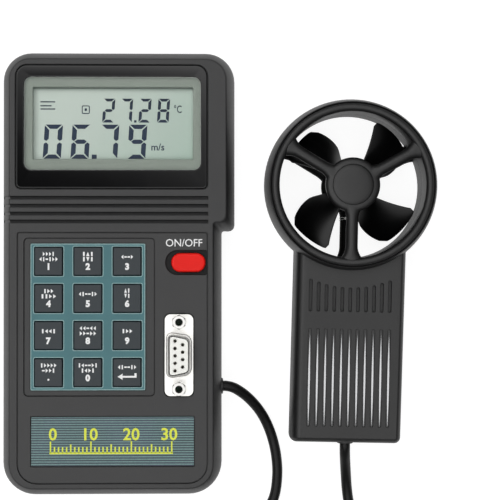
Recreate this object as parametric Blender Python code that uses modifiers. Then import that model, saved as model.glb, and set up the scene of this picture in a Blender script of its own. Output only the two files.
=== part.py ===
"""A handheld vane anemometer: a meter with a display, keys and a serial socket, and a
vane probe on a cable. Metres, +Z up. Both lie on their backs on the plane z = 0."""

import math

import bmesh
import bpy
from mathutils import Matrix, Vector

MM = 0.001

# Clearances
GAP = 0.3 * MM  # between any two pieces
PAST = 5 * MM  # how far a cutter runs past the face that it cuts
LEAST_RADIUS = 0.3 * MM  # of any rounded corner

# Meter case. Its widest outline is at the joint between its halves.
METER_WIDTH = 88 * MM
METER_LENGTH = 168 * MM
METER_DEPTH = 26.2 * MM
STEP_WIDTH = 4.9 * MM  # the lower part is this much narrower, on its right
STEP_FROM_TOP = 67.9 * MM
PARTING = 13 * MM
SIDE_DRAFT = 3.3 * MM  # how far the sides lean in at the face and at the back
WALL = 2 * MM
TOP_CORNER = 11 * MM
BOTTOM_CORNER = 12.5 * MM
STEP_CORNER = 2 * MM
STEP_ROOT = 0.8 * MM
CORNER_STEPS = 6

# Display, from the case's left and top
BEZEL_LEFT = 5.8 * MM
BEZEL_TOP = 5.7 * MM
BEZEL_WIDTH = 71.7 * MM
BEZEL_LENGTH = 46.3 * MM
BEZEL_RISE = 0.4 * MM  # above the case's face
BEZEL_CORNER = 2.5 * MM
DISPLAY_RECESS = 1.2 * MM
BEZEL_BORDER = (2.6 * MM, 6.6 * MM, 2.1 * MM, 4.0 * MM)  # left, bottom, right, top
LCD_BORDER = (3.4 * MM, 4.2 * MM, 3.1 * MM, 3.9 * MM)  # the frame inside the bezel
WINDOW_THICKNESS = 1 * MM
LCD_FRAME_THICKNESS = 2.6 * MM
LCD_LAP = 0.7 * MM  # how far the frame reaches under the bezel
LCD_THICKNESS = 1.8 * MM
CONTACT_STRIP_WIDTH = 2.5 * MM

# Keys, from the case's left and bottom
KEY_WIDTH = 10.75 * MM
KEY_LENGTH = 10.5 * MM
KEY_BETWEEN_COLUMNS = 3.95 * MM
KEY_BETWEEN_ROWS = 3.4 * MM
KEY_RISE = 0.7 * MM
KEY_TRAVEL = 0.8 * MM
KEY_CORNER = 0.8 * MM
KEY_FLANGE = 0.75 * MM
KEY_FLANGE_THICKNESS = 1 * MM
KEY_STEM_RADIUS = 2.5 * MM
KEY_STEM_LENGTH = 2.3 * MM
KEYPAD_LEFT = 11.3 * MM
KEYPAD_BOTTOM = 40.3 * MM
KEYPAD_MARGIN = 1.4 * MM  # of the plate, beyond the outer keys
KEYPAD_RECESS_BORDER = (2.4 * MM, 2.1 * MM, 3.4 * MM, 2.0 * MM)
SHALLOW_RECESS = 0.6 * MM
RECESS_CORNER = 1.5 * MM
PLATE_THICKNESS = 0.9 * MM
PLATE_LEDGE = 0.8 * MM
MAT_SHEET = 1 * MM
MAT_COLLAR_WALL = 1.2 * MM
KEY_NAMES = (
    ("key_1", "key_2", "key_3"),
    ("key_4", "key_5", "key_6"),
    ("key_7", "key_8", "key_9"),
    ("key_point", "key_0", "key_enter"),
)

# Power button, from the lower part's right side and the step
POWER_FROM_RIGHT = 12.7 * MM
POWER_FROM_STEP = 11.9 * MM
POWER_WIDTH = 12.7 * MM
POWER_LENGTH = 7 * MM
POWER_RISE = 1.2 * MM
POWER_TRAVEL = 1.5 * MM
POWER_RECESS_DEPTH = 1 * MM
POWER_RECESS_BORDER = (2.2 * MM, 1.1 * MM, 0.7 * MM, 1.1 * MM)
SWITCH_SIZE = 7 * MM

# Serial socket, from the lower part's right side and the case's bottom
SERIAL_FROM_RIGHT = 16.2 * MM
SERIAL_FROM_BOTTOM = 53.4 * MM
SERIAL_FLANGE = (10.8 * MM, 30.8 * MM)
SERIAL_FLANGE_THICKNESS = 0.8 * MM
SERIAL_FLANGE_SINK = 0.3 * MM
SERIAL_SHELL = (8.6 * MM, 16.6 * MM)
SERIAL_SLANT = 1.4 * MM  # how much each end of the narrow side is drawn in
SERIAL_SHELL_CORNER = 2.2 * MM
SERIAL_SHELL_WALL = 0.5 * MM
SERIAL_SHELL_HEIGHT = 5.8 * MM
SERIAL_PIN_PITCH = 2.77 * MM
SERIAL_ROW_PITCH = 2.84 * MM
SERIAL_CONTACT_RADIUS = 0.6 * MM
SERIAL_CONTACT_DEPTH = 5 * MM
SERIAL_BODY = (10 * MM, 19.4 * MM)
JACK_SPACING = 25 * MM
JACK_ACROSS_FLATS = 4.8 * MM
JACK_HEIGHT = 4.8 * MM
JACK_BORE = 1.3 * MM
JACK_SHANK = 1.7 * MM

# Nameplate and grip grooves
PLATE_LEFT = 11.6 * MM
PLATE_RIGHT = 10.6 * MM
PLATE_BOTTOM = 11.9 * MM
PLATE_HEIGHT = 18.4 * MM
LABEL_THICKNESS = 0.4 * MM
GROOVE_COUNT = 4
GROOVE_PITCH = 2.97 * MM
GROOVE_WIDTH = 1 * MM
GROOVE_ABOVE_STEP = 3.5 * MM
GROOVE_FROM_RIGHT = 10.3 * MM

# Inside the meter
BOARD_DROP = 6.1 * MM  # from the face's underside to the board
BOARD_THICKNESS = 1.6 * MM
BOARD_CLEAR = 4.2 * MM  # from the case's widest outline to the board's edge
BOARD_TOP_CLEAR = 9.2 * MM
CHIP_SIZE = 14 * MM
CHIP_THICKNESS = 1.5 * MM
CHIP_CENTRE = (-12 * MM, -10 * MM)
BUZZER_RADIUS = 6 * MM
BUZZER_HEIGHT = 6 * MM
BUZZER_CENTRE = (10 * MM, -6 * MM)

# Battery bay
BATTERY = (48.5 * MM, 26.5 * MM, 17.5 * MM)
BATTERY_CORNER = 2.5 * MM
BAY_FROM_LEFT = 40 * MM
BAY_LENGTH = 31.7 * MM
BAY_WALL = 1.5 * MM
DOOR_WIDTH = 54 * MM
DOOR_TONGUE = 1.5 * MM
DOOR_TONGUE_THICKNESS = 0.8 * MM
TERMINAL_HEIGHT = 2.5 * MM
TERMINALS = ((-6.35 * MM, 2.9 * MM), (6.35 * MM, 4.2 * MM))  # place and radius
SNAP = (2.4 * MM, 24 * MM, 13 * MM)
LEAD_RADIUS = 0.7 * MM

# Screws
SCREW_RADIUS = 0.9 * MM
SCREW_HEAD_RADIUS = 1.9 * MM
SCREW_HEAD_HEIGHT = 1.6 * MM
SCREW_SINK = 1 * MM  # of a head, below the surface
BOSS_WALL = 0.8 * MM
SCREW_REACH = 6 * MM  # into the front half
CASE_SCREW_FROM_SIDE = 11 * MM
CASE_SCREW_FROM_TOP = 6.7 * MM
LOWER_SCREW_FROM_LEFT = 7.4 * MM
LOWER_SCREW_FROM_RIGHT = 8.1 * MM
LOWER_SCREW_FROM_BOTTOM = 14 * MM

# Cable
CABLE_RADIUS = 2 * MM
CABLE_FROM_BOTTOM = 41 * MM
GROMMET_WALL = 0.8 * MM
GROMMET_LIP = 0.9 * MM
GROMMET_LIP_THICKNESS = 1.2 * MM
COIL_TURN_RADII = (19.6 * MM, 23.8 * MM, 28 * MM)
COIL_LAYERS = 3
COIL_FROM_EXIT = (36.05 * MM, -81 * MM)  # from where the cable leaves the meter

# Probe: a ring with a handle, split into front and rear halves
PROBE_ASIDE = 11.3 * MM  # between the meter's side and the ring, as laid
RING_CENTRE_Y = 33.5 * MM  # above the meter's middle, as laid
PROBE_TURN = math.radians(-1.2)
RING_RADIUS = 33 * MM
RING_DRAFT = 1.8 * MM
RING_BORE = 27.6 * MM
RING_DEPTH = 29.2 * MM
RING_ROUND = 0.9 * MM
PROBE_PARTING = 14.6 * MM
RING_STEPS = 48
SPOKE_RADIUS = 1.8 * MM
SPOKE_SINK = 0.4 * MM  # of a spoke, below the ring's rim
SPOKE_ANGLES = (30, 150, 270)
HUB_RADIUS = 10.5 * MM
HUB_THICKNESS = 4.8 * MM
HUB_SINK = 0.2 * MM
HUB_CAP_RADIUS = 7.8 * MM
HUB_CAP_THICKNESS = 0.8 * MM
HANDLE_WIDTH = 43.4 * MM
HANDLE_LENGTH = 97.9 * MM  # from the ring's centre
HANDLE_DEPTH = 24 * MM
HANDLE_DRAFT = 3 * MM
HANDLE_CORNER = 5 * MM
HANDLE_TOP = 20 * MM
HANDLE_WALL = 2 * MM
HANDLE_CAVITY_TOP = 38 * MM
SLOT_COUNT = 11
SLOT_PITCH = 3 * MM
SLOT_WIDTH = 1.7 * MM
SLOT_DEPTH = 0.8 * MM
SLOT_BREAK = 54.6 * MM  # from the ring's centre to the middle of the plain band
SLOT_BREAK_LENGTH = 6.8 * MM
SLOT_END = 91.2 * MM
SLOT_ARC = 38.6 * MM  # the upper slots start on this arc round the ring
PROBE_SCREWS = (44.5 * MM, 86.9 * MM)  # from the ring's centre
PROBE_BOARD = (26 * MM, 30 * MM, 1.6 * MM)
PROBE_BOARD_CENTRE = 68 * MM
PROBE_POST_RADIUS = 2 * MM

# Vane wheel
AXLE_RADIUS = 0.75 * MM
BEARING_RADIUS = 3 * MM
BEARING_THICKNESS = 2.3 * MM
AXLE_SINK = 0.5 * MM  # of the axle's end, inside its bearing
WHEEL_HUB_RADIUS = 6 * MM
WHEEL_HUB_LENGTH = 13 * MM
BLADE_COUNT = 4
BLADE_TIP = 25.3 * MM
BLADE_START = 52  # degrees, the middle of the first blade
BLADE_HALF_ANGLE = 22  # degrees
BLADE_RISE = 12 * MM  # from one edge of a blade to the other, along the axle
BLADE_THICKNESS = 1 * MM
MAGNET_RADIUS = 5 * MM
MAGNET_THICKNESS = 2.4 * MM
PICKUP_RADIUS = 1.7 * MM
PICKUP_HEIGHT = 3 * MM
PICKUP_OFFSET = 6.5 * MM
THERMISTOR_RADIUS = 0.9 * MM
THERMISTOR_OUT = 12.6 * MM
THERMISTOR_LENGTH = 3 * MM

# Places that follow from the sizes above, in the meter's own frame
LEFT, RIGHT = -METER_WIDTH / 2, METER_WIDTH / 2
BOTTOM, TOP = -METER_LENGTH / 2, METER_LENGTH / 2
LOWER_RIGHT = RIGHT - STEP_WIDTH
STEP_Y = TOP - STEP_FROM_TOP
FACE = METER_DEPTH
CEILING = FACE - WALL
BOARD_TOP = CEILING - BOARD_DROP
BOARD_BOTTOM = BOARD_TOP - BOARD_THICKNESS
BAY_X = LEFT + BAY_FROM_LEFT
BAY_END = BOTTOM + BAY_LENGTH
KEY_PITCH_X = KEY_WIDTH + KEY_BETWEEN_COLUMNS
KEY_PITCH_Y = KEY_LENGTH + KEY_BETWEEN_ROWS
SERIAL_CENTRE = (LOWER_RIGHT - SERIAL_FROM_RIGHT, BOTTOM + SERIAL_FROM_BOTTOM)
POWER_CENTRE = (LOWER_RIGHT - POWER_FROM_RIGHT, STEP_Y - POWER_FROM_STEP)
GROMMET_RADIUS = CABLE_RADIUS + GAP + GROMMET_WALL
CABLE_EXIT_Y = BOTTOM + CABLE_FROM_BOTTOM

RING_CENTRE_X = RIGHT + PROBE_ASIDE + RING_RADIUS

# The object's frame: its origin is at the middle of the box round meter and probe.
SET_MIDDLE_X = (LEFT + RING_CENTRE_X + RING_RADIUS) / 2

# The cable's route as laid, in millimetres. The first list runs from inside the meter
# to the coil, from the place where the cable leaves the meter's side. The second starts
# at the coil, from its centre. The third ends inside the handle, from its lower end.
ROUTE_FROM_METER = [
    (-3.8, 0.0, 13.0),
    (0.0, 0.0, 13.0),
    (1.4, 0.0, 13.0),
    (4.9, -0.9, 12.4),
    (9.6, -4.2, 9.8),
    (14.0, -9.0, 6.6),
    (17.3, -14.4, 4.1),
    (19.8, -20.8, 2.5),
    (21.4, -28.0, 2.1),
    (21.8, -36.0, 2.1),
    (20.4, -44.5, 2.1),
    (15.8, -52.2, 2.1),
    (10.9, -58.0, 2.1),
    (8.2, -64.6, 2.1),
]
ROUTE_FROM_COIL = [
    (27.9, 16.4, 10.0),
    (25.4, 23.0, 8.2),
    (20.6, 28.8, 5.2),
    (16.6, 34.4, 3.0),
]
ROUTE_TO_PROBE = [
    (2.6, -19.8, 3.0),
    (1.2, -14.0, 5.0),
    (0.4, -8.9, 9.0),
    (0.0, -5.0, 12.8),
    (-0.04, -2.0, 14.5),
    (0.0, 0.0, 14.6),
    (0.06, 2.9, 14.6),
    (0.13, 6.4, 14.6),
]


def rounded(corners, radii, inset=0.0, steps=4):
    """The points of a polygon with round corners, moved inwards by inset. The corners
    run anticlockwise, and an outer corner's radius shrinks with the inset."""
    points = []
    for index, corner in enumerate(corners):
        before = Vector(corners[index - 1])
        after = Vector(corners[(index + 1) % len(corners)])
        corner = Vector(corner)
        into = (corner - before).normalized()
        out = (after - corner).normalized()
        inward = Vector((-into.y, into.x)), Vector((-out.y, out.x))
        turn = math.atan2(into.x * out.y - into.y * out.x, into.dot(out))
        side = math.copysign(1, turn)
        corner += (inward[0] + inward[1]) * inset / (1 + inward[0].dot(inward[1]))
        radius = max(radii[index] - inset, LEAST_RADIUS) if turn > 0 else radii[index]
        start = corner - into * radius * math.tan(abs(turn) / 2)
        centre = start + inward[0] * radius * side
        for step in range(steps + 1):
            swept = Matrix.Rotation(turn * step / steps, 2)
            points.append(centre + swept @ (start - centre))
    return points


def box_outline(box, radius, inset=0.0, steps=4):
    """A rectangle (left, bottom, right, top) with round corners."""
    left, bottom, right, top = box
    corners = ((left, bottom), (right, bottom), (right, top), (left, top))
    return rounded(corners, [radius] * 4, inset, steps)


def box_around(centre, size):
    """The rectangle of that width and length round a centre."""
    return (
        centre[0] - size[0] / 2,
        centre[1] - size[1] / 2,
        centre[0] + size[0] / 2,
        centre[1] + size[1] / 2,
    )


def inner_box(box, border):
    """A rectangle inside another, with its own border (left, bottom, right, top)."""
    return (
        box[0] + border[0],
        box[1] + border[1],
        box[2] - border[2],
        box[3] - border[3],
    )


def outer_box(box, border):
    return inner_box(box, [-width for width in border])


def circle(radius, centre=(0, 0), count=16):
    angles = [2 * math.pi * k / count for k in range(count)]
    return [
        (centre[0] + radius * math.cos(a), centre[1] + radius * math.sin(a))
        for a in angles
    ]


def at_height(outline, height):
    return [(x, y, height) for x, y in outline]


def lean(height, widest, end, draft):
    """How far a convex side has leaned in at a height, between its widest and its end."""
    rise = abs(end - widest)
    bend = (rise**2 + draft**2) / (2 * draft)
    return bend - math.sqrt(bend**2 - (height - widest) ** 2)


def heights(first, last, count):
    return [first + (last - first) * k / (count - 1) for k in range(count)]


# Meshes and objects


def material(name, colour, roughness, metallic=0.0, alpha=1.0):
    made = bpy.data.materials.get(name)
    if made is None:
        made = bpy.data.materials.new(name)
        made.use_nodes = True
        made.diffuse_color = (*colour, alpha)
        shader = made.node_tree.nodes["Principled BSDF"]
        shader.inputs["Base Color"].default_value = (*colour, 1)
        shader.inputs["Roughness"].default_value = roughness
        shader.inputs["Metallic"].default_value = metallic
        shader.inputs["Alpha"].default_value = alpha
    return made


def case_plastic():
    return material("case_plastic", (0.062, 0.062, 0.064), 0.5)


def black_plastic():
    return material("black_plastic", (0.008, 0.008, 0.009), 0.15)


def rubber():
    return material("black_rubber", (0.018, 0.018, 0.018), 0.45)


def key_plastic():
    return material("key_plastic", (0.06, 0.066, 0.07), 0.5)


def bright_steel():
    return material("bright_steel", (0.6, 0.6, 0.58), 0.3, 1.0)


def link(name, data, parent, look=None, at=(0, 0, 0)):
    """An object for a piece, in the object's own collection, under its parent empty."""
    made = bpy.data.objects.new(name, data)
    bpy.data.collections["vane_anemometer"].objects.link(made)
    made.parent = parent
    made.location = at
    if look is not None:
        data.materials.append(look)
    return made


def hide(made):
    """Turns a piece into a helper that only cuts or joins."""
    bpy.data.collections["vane_anemometer"].objects.unlink(made)
    bpy.data.collections["cutters"].objects.link(made)
    made.hide_render = True
    made.display_type = "WIRE"
    return made


def finished(work, name):
    bmesh.ops.recalc_face_normals(work, faces=work.faces)
    mesh = bpy.data.meshes.new(name)
    work.to_mesh(mesh)
    work.free()
    return mesh


def prisms(name, shapes):
    """A mesh of upright prisms, one for each (outline, low, high)."""
    work = bmesh.new()
    for outline, low, high in shapes:
        base = work.faces.new([work.verts.new(p) for p in at_height(outline, low)])
        raised = bmesh.ops.extrude_face_region(work, geom=[base])["geom"]
        verts = [part for part in raised if isinstance(part, bmesh.types.BMVert)]
        bmesh.ops.translate(work, vec=(0, 0, high - low), verts=verts)
    return finished(work, name)


def loft(name, rings):
    """A closed mesh through rings of equally many points, with both ends capped."""
    work = bmesh.new()
    loops = [[work.verts.new(point) for point in ring] for ring in rings]
    for lower, upper in zip(loops, loops[1:]):
        for k in range(len(lower)):
            work.faces.new((lower[k - 1], lower[k], upper[k], upper[k - 1]))
    work.faces.new(loops[0])
    work.faces.new(loops[-1])
    return finished(work, name)


def turned(name, profile, parent, look, at=(0, 0, 0), steps=32, closed=False):
    """A round piece: a profile of (radius, height) points, from top to bottom down its
    outer side, turned about +Z. A closed profile makes a ring."""
    work = bmesh.new()
    verts = [work.verts.new((radius, 0, height)) for radius, height in profile]
    for first, second in zip(verts, verts[1:]):
        work.edges.new((first, second))
    if closed:
        work.edges.new((verts[-1], verts[0]))
    mesh = bpy.data.meshes.new(name)
    work.to_mesh(mesh)
    work.free()
    made = link(name, mesh, parent, look, at)
    screw = made.modifiers.new("turn", "SCREW")
    screw.steps = screw.render_steps = steps
    screw.use_merge_vertices = True
    screw.merge_threshold = 1e-5
    screw.use_smooth_shade = True
    return made


def frame_plate(name, outlines, low, high, parent, look):
    """A flat plate with windows: a filled 2D curve, given half its thickness each way."""
    curve = bpy.data.curves.new(name, "CURVE")
    curve.dimensions = "2D"
    curve.fill_mode = "BOTH"
    curve.extrude = (high - low) / 2
    for outline in outlines:
        spline = curve.splines.new("POLY")
        spline.points.add(len(outline) - 1)
        for point, (x, y) in zip(spline.points, outline):
            point.co = (x, y, 0, 1)
        spline.use_cyclic_u = True
    return link(name, curve, parent, look, (0, 0, (low + high) / 2))


def change(target, operand, operation):
    step = target.modifiers.new(operand.name, "BOOLEAN")
    step.operation = operation
    step.object = hide(operand)


def cut(target, operand):
    change(target, operand, "DIFFERENCE")


def join(target, operand):
    change(target, operand, "UNION")


def bar(name, radius, ends, parent, look=None, sides=16):
    """A round bar between two points."""
    work = bmesh.new()
    first, last = (Vector(end) for end in ends)
    along = last - first
    bmesh.ops.create_cone(
        work,
        cap_ends=True,
        segments=sides,
        radius1=radius,
        radius2=radius,
        depth=along.length,
        matrix=Matrix.Translation((first + last) / 2)
        @ along.to_track_quat("Z", "Y").to_matrix().to_4x4(),
    )
    return link(name, finished(work, name), parent, look)


def posts(name, places, radius, low, high, parent, sides=12):
    shapes = [(circle(radius, place, sides), low, high) for place in places]
    return link(name, prisms(name, shapes), parent)


def smooth_line(points, spacing):
    """Points about one spacing apart on a smooth curve through the given points."""
    given = [Vector(p) for p in points]
    ends = [2 * given[0] - given[1], *given, 2 * given[-1] - given[-2]]
    line = []
    for a, b, c, d in zip(ends, ends[1:], ends[2:], ends[3:]):
        pieces = max(1, round((c - b).length / spacing))
        for k in range(pieces):
            t = k / pieces
            line.append(
                0.5
                * (
                    2 * b
                    + (c - a) * t
                    + (2 * a - 5 * b + 4 * c - d) * t**2
                    + (3 * b - a - 3 * c + d) * t**3
                )
            )
    return [*line, given[-1]]


def tube(name, line, radius, parent, look):
    """A cable or lead along a line of points, with filled ends."""
    curve = bpy.data.curves.new(name, "CURVE")
    curve.dimensions = "3D"
    curve.bevel_depth = radius
    curve.bevel_resolution = 2
    curve.use_fill_caps = True
    spline = curve.splines.new("POLY")
    spline.points.add(len(line) - 1)
    for point, place in zip(spline.points, line):
        point.co = (*place, 1)
    return link(name, curve, parent, look)


# Meter case


def case_outline(inset):
    corners = (
        (LEFT, BOTTOM),
        (LOWER_RIGHT, BOTTOM),
        (LOWER_RIGHT, STEP_Y),
        (RIGHT, STEP_Y),
        (RIGHT, TOP),
        (LEFT, TOP),
    )
    radii = (
        BOTTOM_CORNER,
        BOTTOM_CORNER,
        STEP_ROOT,
        STEP_CORNER,
        TOP_CORNER,
        TOP_CORNER,
    )
    return rounded(corners, radii, inset, CORNER_STEPS)


def side_lean(height):
    end = FACE if height > PARTING else 0
    return lean(height, PARTING, end, SIDE_DRAFT)


def case_half(name, rim, face, inside):
    """Half of the case, as a bowl from its rim to its face, with a flat inside."""
    inner = [
        at_height(case_outline(side_lean(z) + WALL), z) for z in heights(inside, rim, 3)
    ]
    outer = [at_height(case_outline(side_lean(z)), z) for z in heights(rim, face, 6)]
    return loft(name, inner + outer)


def case_screw_places():
    """(x, y) of the four case screws."""
    upper = [
        (side * (RIGHT - CASE_SCREW_FROM_SIDE), TOP - CASE_SCREW_FROM_TOP)
        for side in (-1, 1)
    ]
    low_y = BOTTOM + LOWER_SCREW_FROM_BOTTOM
    lower = [
        (LEFT + LOWER_SCREW_FROM_LEFT, low_y),
        (LOWER_RIGHT - LOWER_SCREW_FROM_RIGHT, low_y),
    ]
    return upper + lower


def board_post_places():
    """(x, y) of the posts over the board: the first two take screws."""
    above = STEP_Y + 17 * MM
    below = BAY_END + 5.5 * MM
    return [
        (LEFT + 6.5 * MM, above),
        (RIGHT - 7.5 * MM, above),
        (LEFT + 6.4 * MM, below),
        (LOWER_RIGHT - 6.8 * MM, below),
    ]


def bezel_box():
    left = LEFT + BEZEL_LEFT
    top = TOP - BEZEL_TOP
    return (left, top - BEZEL_LENGTH, left + BEZEL_WIDTH, top)


def window_box():
    return inner_box(bezel_box(), BEZEL_BORDER)


def lcd_frame_box():
    return inner_box(window_box(), [-LCD_LAP] * 4)


def lcd_view_box():
    return inner_box(window_box(), LCD_BORDER)


def keypad_box():
    left = LEFT + KEYPAD_LEFT
    bottom = BOTTOM + KEYPAD_BOTTOM
    width = 2 * KEY_PITCH_X + KEY_WIDTH + 2 * KEYPAD_MARGIN
    length = 3 * KEY_PITCH_Y + KEY_LENGTH + 2 * KEYPAD_MARGIN
    return (left, bottom, left + width, bottom + length)


def key_places():
    """{name: (x, y)} of the keys' centres."""
    left, _, _, top = inner_box(keypad_box(), [KEYPAD_MARGIN] * 4)
    return {
        name: (
            left + KEY_WIDTH / 2 + column * KEY_PITCH_X,
            top - KEY_LENGTH / 2 - row * KEY_PITCH_Y,
        )
        for row, names in enumerate(KEY_NAMES)
        for column, name in enumerate(names)
    }


def nameplate_box():
    return (
        LEFT + PLATE_LEFT,
        BOTTOM + PLATE_BOTTOM,
        LOWER_RIGHT - PLATE_RIGHT,
        BOTTOM + PLATE_BOTTOM + PLATE_HEIGHT,
    )


def power_recess_outline():
    left, bottom, right, top = outer_box(
        box_around(POWER_CENTRE, (POWER_WIDTH, POWER_LENGTH)), POWER_RECESS_BORDER
    )
    corners = ((left, bottom), (right, bottom), (right, top), (left, top))
    large = (top - bottom) / 2 - LEAST_RADIUS
    return rounded(corners, (large, KEY_CORNER, KEY_CORNER, large))


def power_outline(inset=0.0):
    box = box_around(POWER_CENTRE, (POWER_WIDTH, POWER_LENGTH))
    return box_outline(box, POWER_LENGTH / 2 - LEAST_RADIUS, inset)


def cut_prism(target, name, outline, low, high, parent):
    cut(target, link(name, prisms(name, [(outline, low, high)]), parent))


def cut_face_recesses(front, meter):
    """The shallow steps in the face, each of which a piece or a recessed field fills."""
    display = box_outline(outer_box(bezel_box(), [GAP] * 4), BEZEL_CORNER)
    keypad = box_outline(outer_box(keypad_box(), KEYPAD_RECESS_BORDER), RECESS_CORNER)
    plate = box_outline(outer_box(nameplate_box(), [GAP] * 4), LEAST_RADIUS, steps=1)
    for name, outline, depth in (
        ("display_recess", display, DISPLAY_RECESS),
        ("keypad_recess", keypad, SHALLOW_RECESS),
        ("power_recess", power_recess_outline(), POWER_RECESS_DEPTH),
        ("nameplate_recess", plate, LABEL_THICKNESS + GAP),
    ):
        cut_prism(front, name, outline, FACE - depth, FACE + PAST, meter)
    right = RIGHT - GROOVE_FROM_RIGHT
    for number in range(GROOVE_COUNT):
        middle = STEP_Y + GROOVE_ABOVE_STEP + number * GROOVE_PITCH
        low, high = middle - GROOVE_WIDTH / 2, middle + GROOVE_WIDTH / 2
        outline = box_outline((LEFT - PAST, low, right, high), LEAST_RADIUS, steps=1)
        name = f"groove_{number + 1}"
        cut_prism(front, name, outline, FACE - SHALLOW_RECESS, FACE + PAST, meter)


def cut_face_openings(front, meter):
    """The openings right through the face: display, keypad pocket, button, socket."""
    display = outer_box(lcd_frame_box(), [GAP] * 4)
    pocket = outer_box(keypad_box(), [GAP] * 4)
    field = inner_box(keypad_box(), [PLATE_LEDGE] * 4)
    flange = outer_box(box_around(SERIAL_CENTRE, SERIAL_FLANGE), [GAP] * 4)
    through = CEILING - PAST
    for name, outline, low in (
        ("display_opening", box_outline(display, KEY_CORNER), through),
        ("plate_pocket", box_outline(pocket, KEY_CORNER), CEILING + PLATE_LEDGE),
        ("key_field", box_outline(field, KEY_CORNER), through),
        ("button_hole", power_outline(-GAP), through),
        ("socket_opening", box_outline(flange, SERIAL_SHELL_CORNER), through),
    ):
        cut_prism(front, name, outline, low, FACE + PAST, meter)


def grommet_hole(name, meter, x_from, x_to):
    """The round hole for the cable, half of it in each case half."""
    ends = ((x_from, CABLE_EXIT_Y, PARTING), (x_to, CABLE_EXIT_Y, PARTING))
    return bar(name, GROMMET_RADIUS + GAP, ends, meter)


def make_front_case(meter):
    mesh = case_half("front_case", PARTING, FACE, CEILING)
    front = link("front_case", mesh, meter, case_plastic())
    bore = SCREW_RADIUS + GAP
    boss = bore + BOSS_WALL
    join(
        front,
        posts(
            "case_bosses", case_screw_places(), boss, PARTING, CEILING + WALL / 2, meter
        ),
    )
    low = BOARD_TOP + GAP
    join(
        front,
        posts(
            "board_posts", board_post_places(), boss + GAP, low, CEILING + WALL / 2, meter
        ),
    )
    cut_face_recesses(front, meter)
    cut_face_openings(front, meter)
    reach = PARTING + SCREW_REACH + GAP
    cut(
        front,
        posts("case_bores", case_screw_places(), bore, PARTING - PAST, reach, meter),
    )
    cut(
        front,
        posts(
            "board_bores",
            board_post_places()[:2],
            bore,
            BOARD_TOP - PAST,
            CEILING - GAP,
            meter,
        ),
    )
    cut(front, grommet_hole("front_cable_hole", meter, 0, RIGHT + PAST))


def door_profile(clear):
    """The battery door's section across its slide: a panel with a tongue each side."""
    half = DOOR_WIDTH / 2 + clear
    wide = half + DOOR_TONGUE
    tongue = WALL + GAP - clear
    top = WALL + GAP + DOOR_TONGUE_THICKNESS + clear
    return [
        (BAY_X - half, -PAST),
        (BAY_X + half, -PAST),
        (BAY_X + half, tongue),
        (BAY_X + wide, tongue),
        (BAY_X + wide, top),
        (BAY_X - wide, top),
        (BAY_X - wide, tongue),
        (BAY_X - half, tongue),
    ]


def along_y(name, section, low, high):
    """A mesh of a section in x and z, extended along y."""
    mesh = prisms(name, [(section, -high, -low)])
    mesh.transform(Matrix.Rotation(math.pi / 2, 4, "X"))
    return mesh


def make_rear_case(meter):
    rim = PARTING - GAP
    mesh = case_half("rear_case", rim, 0, WALL)
    rear = link("rear_case", mesh, meter, case_plastic())
    places = case_screw_places()
    head_bore = SCREW_HEAD_RADIUS + GAP
    join(
        rear,
        posts("rear_bosses", places, head_bore + BOSS_WALL, WALL / 2, rim, meter),
    )
    rib = (LEFT + WALL / 2, BAY_END + GAP, LOWER_RIGHT - WALL / 2, BAY_END + GAP + BAY_WALL)
    half_wall = side_lean(WALL / 2) + WALL / 2
    rib = inner_box(rib, (half_wall, 0, half_wall, 0))
    shapes = [(box_outline(rib, LEAST_RADIUS, steps=1), WALL / 2, rim)]
    join(rear, link("bay_rib", prisms("bay_rib", shapes), meter))
    cut(
        rear,
        posts("head_bores", places, head_bore, -PAST, SCREW_SINK + SCREW_HEAD_HEIGHT, meter),
    )
    cut(
        rear,
        posts("shank_bores", places, SCREW_RADIUS + GAP, -PAST, rim + PAST, meter),
    )
    section = along_y("door_way", door_profile(GAP), BOTTOM - PAST, BAY_END)
    cut(rear, link("door_way", section, meter))
    cut(rear, grommet_hole("rear_cable_hole", meter, 0, RIGHT + PAST))


def make_battery_door(meter):
    """The panel and its end lip are cut from the same form as the rear case, so that
    they lie flush in it. The tongues run over the floor on each side."""
    centre = Vector((BAY_X, BOTTOM + BAY_LENGTH / 2, 0))
    mesh = case_half("battery_door", PARTING - GAP, 0, WALL)
    mesh.transform(Matrix.Translation(-centre))
    door = link("battery_door", mesh, meter, case_plastic(), centre)
    end = BAY_END - GAP
    section = along_y("door_form", door_profile(0), BOTTOM - PAST, end)
    change(door, link("door_form", section, meter), "INTERSECT")
    tongue_low = WALL + GAP
    tongue_high = tongue_low + DOOR_TONGUE_THICKNESS
    lip = BOTTOM + side_lean(tongue_low) + WALL / 2
    half = DOOR_WIDTH / 2 - GAP
    pad = (BAY_X - half, lip, BAY_X + half, end - GAP)
    wide = DOOR_WIDTH / 2 + DOOR_TONGUE
    tongues = (BAY_X - wide, lip - GAP, BAY_X + wide, end - BAY_WALL)
    pad_shape = (box_outline(pad, LEAST_RADIUS, steps=1), WALL / 2, tongue_high - GAP)
    tongue_shape = (box_outline(tongues, LEAST_RADIUS, steps=1), tongue_low, tongue_high)
    join(door, link("door_pad", prisms("door_pad", [pad_shape]), meter))
    join(door, link("door_tongues", prisms("door_tongues", [tongue_shape]), meter))


def make_screw(name, place, head_low, tip, parent):
    """A pan-head screw put in from below, with a cross slot."""
    head_high = head_low + SCREW_HEAD_HEIGHT
    profile = [
        (0, tip),
        (SCREW_RADIUS * 0.5, tip),
        (SCREW_RADIUS, tip - SCREW_RADIUS),
        (SCREW_RADIUS, head_high),
        (SCREW_HEAD_RADIUS, head_high),
        (SCREW_HEAD_RADIUS, head_low + SCREW_HEAD_HEIGHT / 4),
        (SCREW_HEAD_RADIUS * 0.8, head_low),
        (0, head_low),
    ]
    return turned(name, profile, parent, bright_steel(), (*place, 0), steps=16)


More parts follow.
